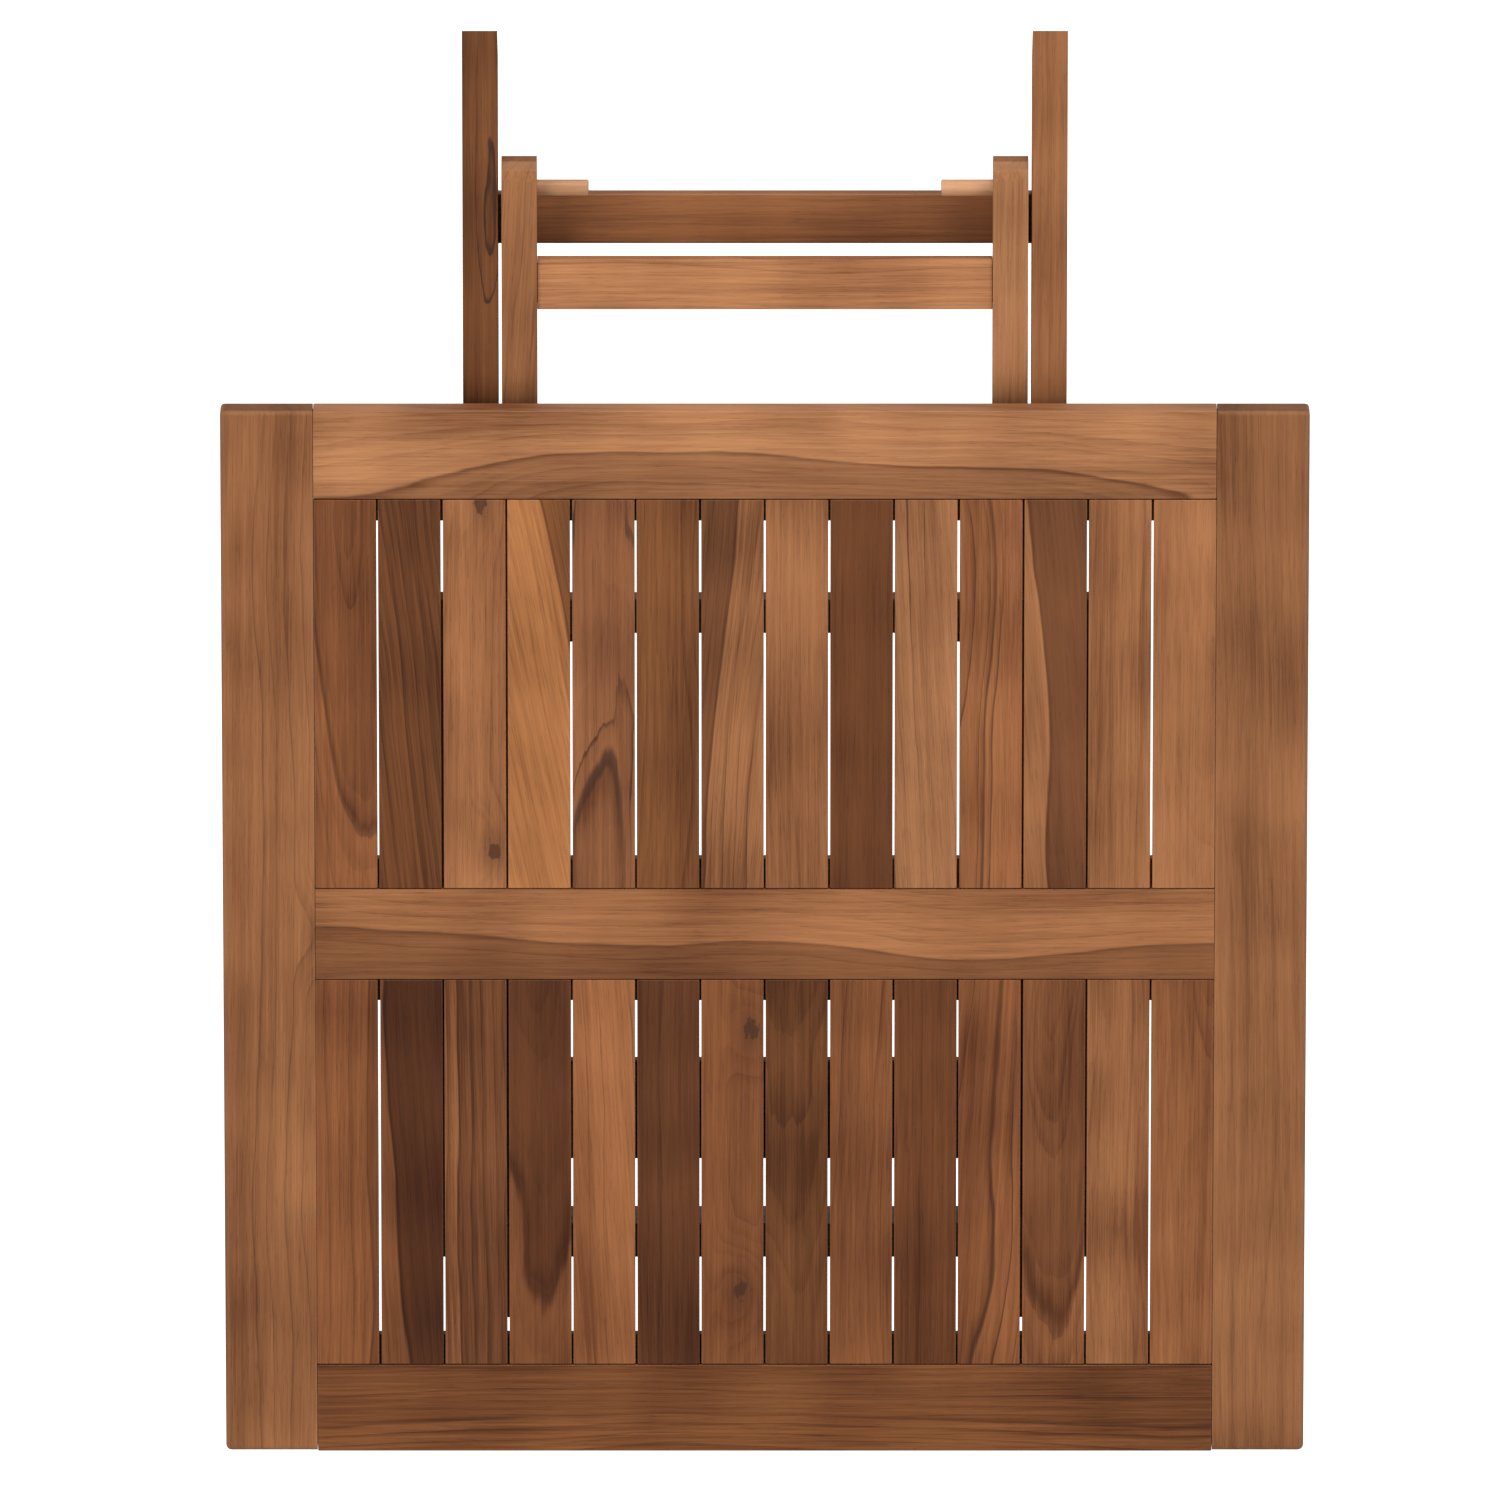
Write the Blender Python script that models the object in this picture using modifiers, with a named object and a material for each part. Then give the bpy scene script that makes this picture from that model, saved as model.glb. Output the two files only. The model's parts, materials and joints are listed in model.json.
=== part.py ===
"""Folding garden table in teak, folded flat: a slatted square top over two leg frames that cross.

Metres, +Z up. The table lies with its top facing up, on the undersides of the outer legs. The
origin is at the middle of the folded table's footprint, at its lowest point. X runs across the
table, and the outer legs reach out past the top along +Y.

The outer leg frame turns on two hinge bolts under the top. The inner leg frame turns on two pivot
bolts through the outer legs. When the table stands open, two pegs at the ends of the inner legs sit
under hooked keepers below the top.
"""

import math

import bmesh
import bpy
from mathutils import Matrix, Vector

# --- Top -------------------------------------------------------------------------------------
TOP_WIDTH = 0.800  # along X
TOP_LENGTH = 0.800  # along Y
TOP_THICKNESS = 0.022
STILE_WIDTH = 0.068
RAIL_WIDTH = 0.067
MIDDLE_RAIL_WIDTH = 0.069
SLATS_PER_PANEL = 14
SLAT_THICKNESS = 0.012
SLAT_GAP = 0.0015
SLAT_SIDE_GAP = 0.0003  # from an outermost slat to its stile
SLAT_END_GAP = 0.0006
LIP_WIDTH = 0.020  # the ledge on each rail that carries the ends of the slats
TENON_LENGTH = 0.030
TENON_THICKNESS = 0.009
TENON_SHOULDER = 0.010  # how much narrower a tenon is than its rail, at each edge

# --- Sub-frame under the slats ---------------------------------------------------------------
SUBFRAME_INSET = 0.080  # from the inner edge of an end rail to the end of a runner
RUNNER_WIDTH = 0.027
RUNNER_DEPTH = 0.022
CROSS_BAR_WIDTH = 0.026
DROPPED_BAR_DEPTH = 0.045  # the bar by the hinges is deeper between the inner legs
DROPPED_BAR_TO_LEG = 0.0136  # from the deeper stretch to an inner leg
HINGE_INSET = 0.0663  # from the hinge axis to the end of the runner
HINGE_EAR_LENGTH = 0.085
HINGE_EAR_SLOPE = 0.075
HINGE_EAR_HEEL = 0.0055  # how far a runner's back end reaches down before the ear begins

# --- Legs ------------------------------------------------------------------------------------
LEG_SPREAD = 0.222  # from the middle of the table to the outer face of an outer leg
LEG_WIDTH = 0.026
INNER_LEG_DEPTH = 0.032
AXIS_DEPTH = 0.0588  # from the top surface down to the hinges, pivots and pegs
UPPER_ARM = 0.37035  # hinge to pivot, and pivot to peg
LOWER_ARM = 0.49305  # pivot to the tip of a foot
END_BEYOND_AXIS = 0.024
LEG_END_CORNER = 0.0136  # the upper corner of an outer leg, past its hinge
RUNNER_TO_LEG = 0.003
LEG_TO_LEG = 0.0026

# --- Stretchers ------------------------------------------------------------------------------
STRETCHER_WIDTH = 0.038
STRETCHER_THICKNESS = 0.0115
STRETCHER_TENON_LENGTH = 0.012
STRETCHER_TENON_THICKNESS = 0.0065
INNER_STRETCHER_RECESS = 0.002  # below the upper faces of the inner legs
STRETCHER_TO_LEG = 0.0005  # from the stretcher by the outer feet up to the inner legs that fold over it
FOOT_STRETCHER_AT = 0.3424  # from the pivot to its middle, towards the outer feet
HINGE_STRETCHER_AT = 0.061  # from the hinge to its middle
PEG_STRETCHER_AT = 0.3004  # from the pivot to its middle, towards the pegs
INNER_FOOT_STRETCHER_AT = 0.3512  # from the pivot to its middle, towards the inner feet

# --- Pegs and keepers ------------------------------------------------------------------------
PEG_RADIUS = 0.006
PEG_REACH = 0.038  # how far a peg stands out from its leg
PEG_SOCKET = 0.020
KEEPER_WIDTH = 0.030
KEEPER_LEG_GAP = 0.0034
KEEPER_WALL = 0.012
KEEPER_LIP = 0.0057
KEEPER_LIP_CLEARANCE = 0.0006
KEEPER_SEAT_RISE = 0.0072
KEEPER_WALL_DROP = 0.0092  # how far the wall reaches below the hinge axis
KEEPER_SET_BACK = 0.0073  # from the middle of the front cross bar back to the peg

# --- Bolts -----------------------------------------------------------------------------------
BOLT_RADIUS = 0.004
BOLT_HEAD_RADIUS = 0.008
BOLT_HEAD_THICKNESS = 0.0025
DOME_STEPS = 4
NUT_RADIUS = 0.0075
NUT_THICKNESS = 0.004
NUT_RECESS = 0.0045
WASHER_RADIUS = 0.009
WASHER_THICKNESS = 0.002

# --- Fits and edges --------------------------------------------------------------------------
FIT = 0.0003  # between pieces that touch
HOLE_CLEARANCE = 0.0004  # more than FIT, because a hole is a polygon here
FRAME_EDGE = 0.0030
SLAT_EDGE = 0.0010
SMALL_EDGE = 0.0010
ROUND_SIDES = 24
ARC_STEPS = 6

# --- Worked out from the sizes above -----------------------------------------------------------
HALF_WIDTH = TOP_WIDTH / 2
HALF_LENGTH = TOP_LENGTH / 2
OPENING_HALF_WIDTH = HALF_WIDTH - STILE_WIDTH
END_RAIL_EDGE = HALF_LENGTH - RAIL_WIDTH
SLAT_PITCH = 2 * (OPENING_HALF_WIDTH - SLAT_SIDE_GAP + SLAT_GAP / 2) / SLATS_PER_PANEL
SUBFRAME_HALF_LENGTH = END_RAIL_EDGE - SUBFRAME_INSET

OUTER_LEG_DEPTH = INNER_LEG_DEPTH + STRETCHER_THICKNESS + STRETCHER_TO_LEG
OUTER_LEG_ABOVE_AXIS = INNER_LEG_DEPTH / 2
OUTER_LEG_BELOW_AXIS = OUTER_LEG_DEPTH - OUTER_LEG_ABOVE_AXIS
TOTAL_HEIGHT = AXIS_DEPTH + OUTER_LEG_BELOW_AXIS
TOP_Z = TOTAL_HEIGHT
AXIS_Z = TOTAL_HEIGHT - AXIS_DEPTH
SLAT_UNDERSIDE_Z = TOP_Z - SLAT_THICKNESS
RUNNER_TOP_Z = SLAT_UNDERSIDE_Z - FIT
RUNNER_BOTTOM_Z = RUNNER_TOP_Z - RUNNER_DEPTH

OUTER_LEG_X = LEG_SPREAD - LEG_WIDTH / 2
INNER_LEG_X = OUTER_LEG_X - LEG_WIDTH - LEG_TO_LEG
RUNNER_X = LEG_SPREAD + RUNNER_TO_LEG + RUNNER_WIDTH / 2
INNER_LEG_FACE_X = INNER_LEG_X - LEG_WIDTH / 2

# Along Y from the middle of the top; placed in the world by TOP_MIDDLE_Y.
HINGE_FROM_TOP = -SUBFRAME_HALF_LENGTH + HINGE_INSET
PIVOT_FROM_TOP = HINGE_FROM_TOP + UPPER_ARM
FOOT_TIP_FROM_TOP = PIVOT_FROM_TOP + LOWER_ARM
TOP_MIDDLE_Y = -(FOOT_TIP_FROM_TOP - HALF_LENGTH) / 2
HINGE_Y = TOP_MIDDLE_Y + HINGE_FROM_TOP
PIVOT_Y = TOP_MIDDLE_Y + PIVOT_FROM_TOP
PEG_Y = PIVOT_Y + UPPER_ARM

FRONT_BAR_Y = TOP_MIDDLE_Y + SUBFRAME_HALF_LENGTH - CROSS_BAR_WIDTH / 2
BACK_BAR_Y = TOP_MIDDLE_Y - SUBFRAME_HALF_LENGTH + CROSS_BAR_WIDTH / 2
OPEN_PEG_Y = FRONT_BAR_Y - KEEPER_SET_BACK
OPEN_ANGLE = math.acos((OPEN_PEG_Y - HINGE_Y) / (2 * UPPER_ARM))
FOOT_SLANT = 1 / math.tan(OPEN_ANGLE)  # a foot stands flat on the ground when the table is open

TEAK = (0.42, 0.22, 0.105, 1.0)
TEAK_DARK = (0.26, 0.12, 0.06, 1.0)
TEAK_PALE = (0.58, 0.36, 0.21, 1.0)
BRASS = (0.62, 0.46, 0.22, 1.0)

Outline = list[tuple[float, float]]


def clear_scene() -> None:
    for old in list(bpy.data.objects):
        bpy.data.objects.remove(old, do_unlink=True)


def new_collection(name: str) -> bpy.types.Collection:
    collection = bpy.data.collections.new(name)
    bpy.context.scene.collection.children.link(collection)
    return collection


def principled(name: str, colour: tuple, roughness: float, metallic: float = 0.0) -> bpy.types.Material:
    material = bpy.data.materials.new(name)
    material.use_nodes = True
    shader = material.node_tree.nodes["Principled BSDF"]
    shader.inputs["Base Color"].default_value = colour
    shader.inputs["Roughness"].default_value = roughness
    shader.inputs["Metallic"].default_value = metallic
    return material


clear_scene()
PARTS = new_collection("folding_table")
CUTTERS = new_collection("cutters")
CUTTERS.hide_render = True
WOOD = principled("teak", TEAK, 0.5)
DARK_WOOD = principled("teak_dark", TEAK_DARK, 0.5)
PALE_WOOD = principled("teak_pale", TEAK_PALE, 0.55)
METAL = principled("brass", BRASS, 0.3, 1.0)


def make_object(name: str, mesh: bpy.types.Mesh, at: Vector, material, collection=None):
    """An object that shows this mesh, with its origin at the given point."""
    item = bpy.data.objects.new(name, mesh)
    item.location = at
    (collection or PARTS).objects.link(item)
    if material is not None:
        mesh.materials.append(material)
    return item


def block_mesh(name: str, size: tuple) -> bpy.types.Mesh:
    shape = bmesh.new()
    bmesh.ops.create_cube(shape, size=1.0)
    bmesh.ops.scale(shape, vec=Vector(size), verts=shape.verts)
    mesh = bpy.data.meshes.new(name)
    shape.to_mesh(mesh)
    shape.free()
    return mesh


def block(name: str, x: tuple, y: tuple, z: tuple, material, collection=None):
    """A box between two planes along each axis."""
    size = (x[1] - x[0], y[1] - y[0], z[1] - z[0])
    middle = Vector(((x[0] + x[1]) / 2, (y[0] + y[1]) / 2, (z[0] + z[1]) / 2))
    return make_object(name, block_mesh(name, size), middle, material, collection)


def as_cutter(item):
    item.hide_render = True
    item.display_type = "WIRE"
    return item


def cutting_block(name: str, x: tuple, y: tuple, z: tuple):
    return as_cutter(block(name, x, y, z, None, CUTTERS))


def cutting_rod(name: str, x: tuple, y: float, z: float, radius: float):
    """A round cutter along X."""
    shape = bmesh.new()
    bmesh.ops.create_cone(shape, cap_ends=True, segments=ROUND_SIDES, radius1=radius, radius2=radius,
                          depth=x[1] - x[0], matrix=Matrix.Rotation(math.pi / 2, 4, "Y"))
    mesh = bpy.data.meshes.new(name)
    shape.to_mesh(mesh)
    shape.free()
    return as_cutter(make_object(name, mesh, Vector(((x[0] + x[1]) / 2, y, z)), None, CUTTERS))


def boolean(item, other, operation: str):
    step = item.modifiers.new(f"{operation.lower()}_{other.name}", "BOOLEAN")
    step.operation = operation
    step.object = other
    step.solver = "EXACT"


def round_edges(item, width: float, segments: int = 1):
    step = item.modifiers.new("edges", "BEVEL")
    step.width = width
    step.segments = segments
    step.limit_method = "ANGLE"
    step.angle_limit = math.radians(40)


def join(item, *others):
    for other in others:
        boolean(item, as_cutter(other), "UNION")


def cut(item, *others):
    for other in others:
        boolean(item, other, "DIFFERENCE")


def side_plate(name: str, outline: Outline, x: float, width: float, y: float, z: float, material):
    """An outline in the plane of Y and Z, given from (y, z), and made this wide along X around x."""
    curve = bpy.data.curves.new(name, "CURVE")
    curve.dimensions = "2D"
    curve.fill_mode = "BOTH"
    curve.extrude = width / 2
    spline = curve.splines.new("POLY")
    spline.points.add(len(outline) - 1)
    for point, (along, up) in zip(spline.points, outline):
        point.co = (along, up, 0.0, 1.0)
    spline.use_cyclic_u = True
    flat = bpy.data.objects.new(name + "_outline", curve)
    PARTS.objects.link(flat)
    bpy.context.view_layer.update()
    mesh = bpy.data.meshes.new_from_object(flat.evaluated_get(bpy.context.evaluated_depsgraph_get()))
    bpy.data.objects.remove(flat, do_unlink=True)
    shape = bmesh.new()
    shape.from_mesh(mesh)
    bmesh.ops.remove_doubles(shape, verts=shape.verts, dist=1e-6)
    stand_up = Matrix(((0, 0, 1, 0), (1, 0, 0, 0), (0, 1, 0, 0), (0, 0, 0, 1)))
    bmesh.ops.transform(shape, matrix=stand_up, verts=shape.verts)
    bmesh.ops.recalc_face_normals(shape, faces=shape.faces)
    shape.to_mesh(mesh)
    shape.free()
    mesh.name = name
    mesh.materials.clear()
    return make_object(name, mesh, Vector((x, y, z)), material)


def turned(name: str, profile: Outline, x: float, y: float, z: float, towards: int, material):
    """A turned piece on an axis along X: profile is (radius, distance), outwards from x, far end first."""
    mesh = bpy.data.meshes.new(name)
    points = [(radius, 0.0, towards * away) for radius, away in profile[::towards]]
    mesh.from_pydata(points, [(i, i + 1) for i in range(len(points) - 1)], [])
    item = make_object(name, mesh, Vector((x, y, z)), material)
    item.rotation_euler = (0.0, math.pi / 2, 0.0)
    spin = item.modifiers.new("turn", "SCREW")
    spin.axis = "Z"
    spin.angle = 2 * math.pi
    spin.steps = ROUND_SIDES
    spin.render_steps = ROUND_SIDES
    spin.use_merge_vertices = True
    spin.merge_threshold = 1e-6
    return item


def arc(centre: tuple, radius: float, start: float, end: float) -> Outline:
    """Points on an arc, from one angle to another, in degrees."""
    steps = [math.radians(start + (end - start) * i / ARC_STEPS) for i in range(ARC_STEPS + 1)]
    return [(centre[0] + radius * math.cos(a), centre[1] + radius * math.sin(a)) for a in steps]


def sides():
    """The two sides of the table: the name's ending, and the sign of X."""
    return (("left", -1), ("right", 1))


def across(side: int, middle: float, width: float) -> tuple:
    """A range of X, this wide, around a place given for the right side."""
    return (side * middle - width / 2, side * middle + width / 2)


def top_frame() -> None:
    """Two stiles, full length, with three tenoned rails between them."""
    rail_places = (
        ("front_rail", HALF_LENGTH - RAIL_WIDTH / 2, RAIL_WIDTH, (-1,)),
        ("middle_rail", 0.0, MIDDLE_RAIL_WIDTH, (-1, 1)),
        ("back_rail", -HALF_LENGTH + RAIL_WIDTH / 2, RAIL_WIDTH, (1,)),
    )
    tenon_z = (TOP_Z - TOP_THICKNESS / 2 - TENON_THICKNESS / 2, TOP_Z - TOP_THICKNESS / 2 + TENON_THICKNESS / 2)
    stiles = {}
    for ending, side in sides():
        stiles[side] = block(f"stile_{ending}", across(side, HALF_WIDTH - STILE_WIDTH / 2, STILE_WIDTH),
                             (TOP_MIDDLE_Y - HALF_LENGTH, TOP_MIDDLE_Y + HALF_LENGTH),
                             (TOP_Z - TOP_THICKNESS, TOP_Z), WOOD)
        round_edges(stiles[side], FRAME_EDGE, 2)
    for name, middle, width, lips in rail_places:
        y = (TOP_MIDDLE_Y + middle - width / 2, TOP_MIDDLE_Y + middle + width / 2)
        half = OPENING_HALF_WIDTH - FIT
        rail = block(name, (-half, half), y, (TOP_Z - TOP_THICKNESS, TOP_Z), WOOD)
        for lip in lips:
            edge = y[1] if lip > 0 else y[0]
            ends = sorted((edge - lip * FRAME_EDGE, edge + lip * LIP_WIDTH))
            join(rail, block(f"{name}_lip_{'front' if lip > 0 else 'back'}", (-half, half), tuple(ends),
                             (TOP_Z - TOP_THICKNESS, SLAT_UNDERSIDE_Z - FIT), None, CUTTERS))
        reach = OPENING_HALF_WIDTH + TENON_LENGTH
        tenon_y = (y[0] + TENON_SHOULDER, y[1] - TENON_SHOULDER)
        join(rail, block(f"{name}_tenons", (-reach, reach), tenon_y, tenon_z, None, CUTTERS))
        for ending, side in sides():
            mortise_x = sorted((side * (OPENING_HALF_WIDTH - STILE_WIDTH / 2), side * (reach + FIT)))
            cut(stiles[side], cutting_block(f"{name}_mortise_{ending}", tuple(mortise_x),
                                            (tenon_y[0] - FIT, tenon_y[1] + FIT),
                                            (tenon_z[0] - FIT, tenon_z[1] + FIT)))
            if name == "middle_rail":
                cut(rail, cutting_block(f"runner_housing_{ending}", across(side, RUNNER_X, RUNNER_WIDTH + 2 * FIT),
                                        (y[0] - 2 * LIP_WIDTH, y[1] + 2 * LIP_WIDTH),
                                        (TOP_Z - 2 * TOP_THICKNESS, RUNNER_TOP_Z + FIT)))


def slats() -> None:
    """Two panels of slats, front and back of the middle rail."""
    inner_end = MIDDLE_RAIL_WIDTH / 2 + SLAT_END_GAP
    outer_end = END_RAIL_EDGE - SLAT_END_GAP
    width = SLAT_PITCH - SLAT_GAP
    for panel, direction in (("front", 1), ("back", -1)):
        ends = sorted((TOP_MIDDLE_Y + direction * inner_end, TOP_MIDDLE_Y + direction * outer_end))
        for number in range(SLATS_PER_PANEL):
            x = (number - (SLATS_PER_PANEL - 1) / 2) * SLAT_PITCH
            slat = block(f"slat_{panel}_{number + 1:02d}", (x - width / 2, x + width / 2), tuple(ends),
                         (SLAT_UNDERSIDE_Z, TOP_Z), WOOD)
            round_edges(slat, SLAT_EDGE)


def runner_outline() -> Outline:
    """A runner seen from the side, from its hinge: level, then dropping to an ear round the hinge."""
    top = RUNNER_TOP_Z - AXIS_Z
    bottom = RUNNER_BOTTOM_Z - AXIS_Z
    ear = -OUTER_LEG_ABOVE_AXIS
    back = -HINGE_INSET
    front = back + 2 * SUBFRAME_HALF_LENGTH
    ear_front = HINGE_EAR_LENGTH / 2
    corner = HINGE_EAR_LENGTH / 4
    return [
        (back, top),
        (back, bottom - HINGE_EAR_HEEL),
        *arc((-HINGE_EAR_LENGTH / 2 + corner, ear + corner), corner, 180, 270),
        *arc((ear_front - corner, ear + corner), corner, 270, 300),
        (ear_front + HINGE_EAR_SLOPE, bottom),
        (front, bottom),
        (front, top),
    ]


def subframe() -> None:
    """Two runners under the slats, the cross bars between them, and the keepers for the pegs."""
    for ending, side in sides():
        runner = side_plate(f"runner_{ending}", runner_outline(), side * RUNNER_X, RUNNER_WIDTH,
                            HINGE_Y, AXIS_Z, WOOD)
        cut(runner, cutting_rod(f"runner_hole_{ending}", across(side, RUNNER_X, 2 * RUNNER_WIDTH),
                                HINGE_Y, AXIS_Z, BOLT_RADIUS + HOLE_CLEARANCE))
    half = LEG_SPREAD + RUNNER_TO_LEG - FIT
    bar_z = (RUNNER_BOTTOM_Z, RUNNER_TOP_Z)
    front = block("cross_bar_front", (-half, half), (FRONT_BAR_Y - CROSS_BAR_WIDTH / 2,
                  FRONT_BAR_Y + CROSS_BAR_WIDTH / 2), bar_z, WOOD)
    round_edges(front, SMALL_EDGE)
    back_y = (BACK_BAR_Y - CROSS_BAR_WIDTH / 2, BACK_BAR_Y + CROSS_BAR_WIDTH / 2)
    back = block("cross_bar_back", (-half, half), back_y, bar_z, WOOD)
    drop = INNER_LEG_FACE_X - DROPPED_BAR_TO_LEG
    join(back, block("cross_bar_back_drop", (-drop, drop), back_y,
                     (RUNNER_TOP_Z - DROPPED_BAR_DEPTH, RUNNER_BOTTOM_Z + RUNNER_DEPTH / 2), None, CUTTERS))
    keepers()


def keeper_outline() -> Outline:
    """A keeper seen from the side, from the peg's place: a wall behind the peg, and a short lip."""
    top = RUNNER_BOTTOM_Z - FIT - AXIS_Z
    seat_half = PEG_RADIUS + FIT
    seat = PEG_RADIUS + KEEPER_SEAT_RISE
    lip = PEG_RADIUS + KEEPER_LIP_CLEARANCE
    return [
        (-seat_half - KEEPER_WALL, top),
        (-seat_half - KEEPER_WALL, -KEEPER_WALL_DROP),
        (-seat_half, -KEEPER_WALL_DROP),
        *arc((0.0, seat - seat_half), seat_half, 180, 0),
        (seat_half, lip),
        (seat_half + KEEPER_LIP, lip),
        (seat_half + KEEPER_LIP, top),
    ]


def keepers() -> None:
    """The hooked blocks under the front cross bar that hold the pegs of the open table."""
    middle = INNER_LEG_FACE_X - KEEPER_LEG_GAP - KEEPER_WIDTH / 2
    for ending, side in sides():
        side_plate(f"peg_keeper_{ending}", keeper_outline(), side * middle, KEEPER_WIDTH,
                   OPEN_PEG_Y, AXIS_Z, DARK_WOOD)


def outer_leg_outline() -> Outline:
    """An outer leg seen from the side, from its hinge, lying flat with its foot towards +Y."""
    top, bottom = OUTER_LEG_ABOVE_AXIS, -OUTER_LEG_BELOW_AXIS
    tip = UPPER_ARM + LOWER_ARM
    upper_corner = min(LEG_END_CORNER, OUTER_LEG_ABOVE_AXIS)
    lower_corner = END_BEYOND_AXIS
    return [
        *arc((-END_BEYOND_AXIS + upper_corner, top - upper_corner), upper_corner, 90, 180),
        *arc((-END_BEYOND_AXIS + lower_corner, bottom + lower_corner), lower_corner, 180, 270),
        (tip - OUTER_LEG_DEPTH * FOOT_SLANT, bottom),
        (tip, top),
    ]


def inner_leg_outline() -> Outline:
    """An inner leg seen from the side, from its pivot, lying flat with its foot towards -Y."""
    half = INNER_LEG_DEPTH / 2
    end = UPPER_ARM + END_BEYOND_AXIS
    return [
        (-LOWER_ARM, half),
        (-LOWER_ARM + INNER_LEG_DEPTH * FOOT_SLANT, -half),
        *arc((end - half, 0.0), half, -90, 90),
    ]


def stretcher(name: str, half: float, middle_y: float, bottom_z: float, tenon_half: float = 0.0):
    """A stretcher across the table, with a tenon at each end where tenon_half reaches past it."""
    y = (middle_y - STRETCHER_WIDTH / 2, middle_y + STRETCHER_WIDTH / 2)
    bar = block(name, (-half, half), y, (bottom_z, bottom_z + STRETCHER_THICKNESS), WOOD)
    if not tenon_half:
        round_edges(bar, SMALL_EDGE)
        return bar
    middle_z = bottom_z + STRETCHER_THICKNESS / 2
    tenon_y = (y[0] + TENON_SHOULDER / 2, y[1] - TENON_SHOULDER / 2)
    tenon_z = (middle_z - STRETCHER_TENON_THICKNESS / 2, middle_z + STRETCHER_TENON_THICKNESS / 2)
    join(bar, block(f"{name}_tenons", (-tenon_half, tenon_half), tenon_y, tenon_z, None, CUTTERS))
    return bar


def outer_frame() -> None:
    """The outer legs, the stretcher let into them by the feet, and the one on top by the hinges."""
    foot_y = PIVOT_Y + FOOT_STRETCHER_AT
    for ending, side in sides():
        leg = side_plate(f"outer_leg_{ending}", outer_leg_outline(), side * OUTER_LEG_X, LEG_WIDTH,
                         HINGE_Y, AXIS_Z, WOOD)
        through = across(side, OUTER_LEG_X, 2 * LEG_WIDTH)
        cut(leg,
            cutting_rod(f"outer_hinge_hole_{ending}", through, HINGE_Y, AXIS_Z, BOLT_RADIUS + HOLE_CLEARANCE),
            cutting_rod(f"outer_pivot_hole_{ending}", through, PIVOT_Y, AXIS_Z, BOLT_RADIUS + HOLE_CLEARANCE),
            recess(f"hinge_nut_recess_{ending}", side, OUTER_LEG_X - LEG_WIDTH / 2, HINGE_Y),
            cutting_block(f"foot_stretcher_housing_{ending}", through,
                          (foot_y - STRETCHER_WIDTH / 2 - FIT, foot_y + STRETCHER_WIDTH / 2 + FIT),
                          (-STRETCHER_THICKNESS, STRETCHER_THICKNESS + FIT)))
    stretcher("outer_foot_stretcher", LEG_SPREAD, foot_y, 0.0)
    stretcher("outer_hinge_stretcher", LEG_SPREAD, HINGE_Y + HINGE_STRETCHER_AT,
              AXIS_Z + OUTER_LEG_ABOVE_AXIS + FIT)


def recess(name: str, side: int, face: float, y: float):
    """The round recess for a nut, in the face of a leg that looks towards the middle of the table."""
    x = sorted((side * (face - NUT_RECESS), side * (face + NUT_RECESS)))
    return cutting_rod(name, tuple(x), y, AXIS_Z, NUT_RADIUS + HOLE_CLEARANCE)


def inner_frame() -> None:
    """The inner legs with their pegs, and the two stretchers tenoned between them."""
    half = INNER_LEG_FACE_X - FIT
    reach = INNER_LEG_FACE_X + STRETCHER_TENON_LENGTH
    bottom_z = AXIS_Z + INNER_LEG_DEPTH / 2 - INNER_STRETCHER_RECESS - STRETCHER_THICKNESS
    places = {"inner_peg_stretcher": PIVOT_Y + PEG_STRETCHER_AT,
              "inner_foot_stretcher": PIVOT_Y - INNER_FOOT_STRETCHER_AT}
    for name, y in places.items():
        stretcher(name, half, y, bottom_z, reach)
    tenon_half_y = STRETCHER_WIDTH / 2 - TENON_SHOULDER / 2 + FIT
    tenon_half_z = STRETCHER_TENON_THICKNESS / 2 + FIT
    for ending, side in sides():
        leg = side_plate(f"inner_leg_{ending}", inner_leg_outline(), side * INNER_LEG_X, LEG_WIDTH,
                         PIVOT_Y, AXIS_Z, WOOD)
        cut(leg,
            cutting_rod(f"inner_pivot_hole_{ending}", across(side, INNER_LEG_X, 2 * LEG_WIDTH),
                        PIVOT_Y, AXIS_Z, BOLT_RADIUS + HOLE_CLEARANCE),
            recess(f"pivot_nut_recess_{ending}", side, INNER_LEG_FACE_X, PIVOT_Y))
        socket_x = sorted((side * (INNER_LEG_FACE_X - PEG_SOCKET), side * (INNER_LEG_FACE_X + PEG_SOCKET + FIT)))
        cut(leg, cutting_rod(f"peg_socket_{ending}", tuple(socket_x), PEG_Y, AXIS_Z, PEG_RADIUS + HOLE_CLEARANCE))
        for name, y in places.items():
            mortise_x = sorted((side * (INNER_LEG_FACE_X - LEG_WIDTH), side * (reach + FIT)))
            middle_z = bottom_z + STRETCHER_THICKNESS / 2
            cut(leg, cutting_block(f"{name}_mortise_{ending}", tuple(mortise_x),
                                   (y - tenon_half_y, y + tenon_half_y),
                                   (middle_z - tenon_half_z, middle_z + tenon_half_z)))
        peg = [(0.0, PEG_REACH + PEG_SOCKET), (PEG_RADIUS, PEG_REACH + PEG_SOCKET),
               (PEG_RADIUS, SMALL_EDGE), (PEG_RADIUS - SMALL_EDGE, 0.0), (0.0, 0.0)]
        turned(f"peg_{ending}", peg, side * (INNER_LEG_FACE_X - PEG_REACH), PEG_Y, AXIS_Z, side, PALE_WOOD)


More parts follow.
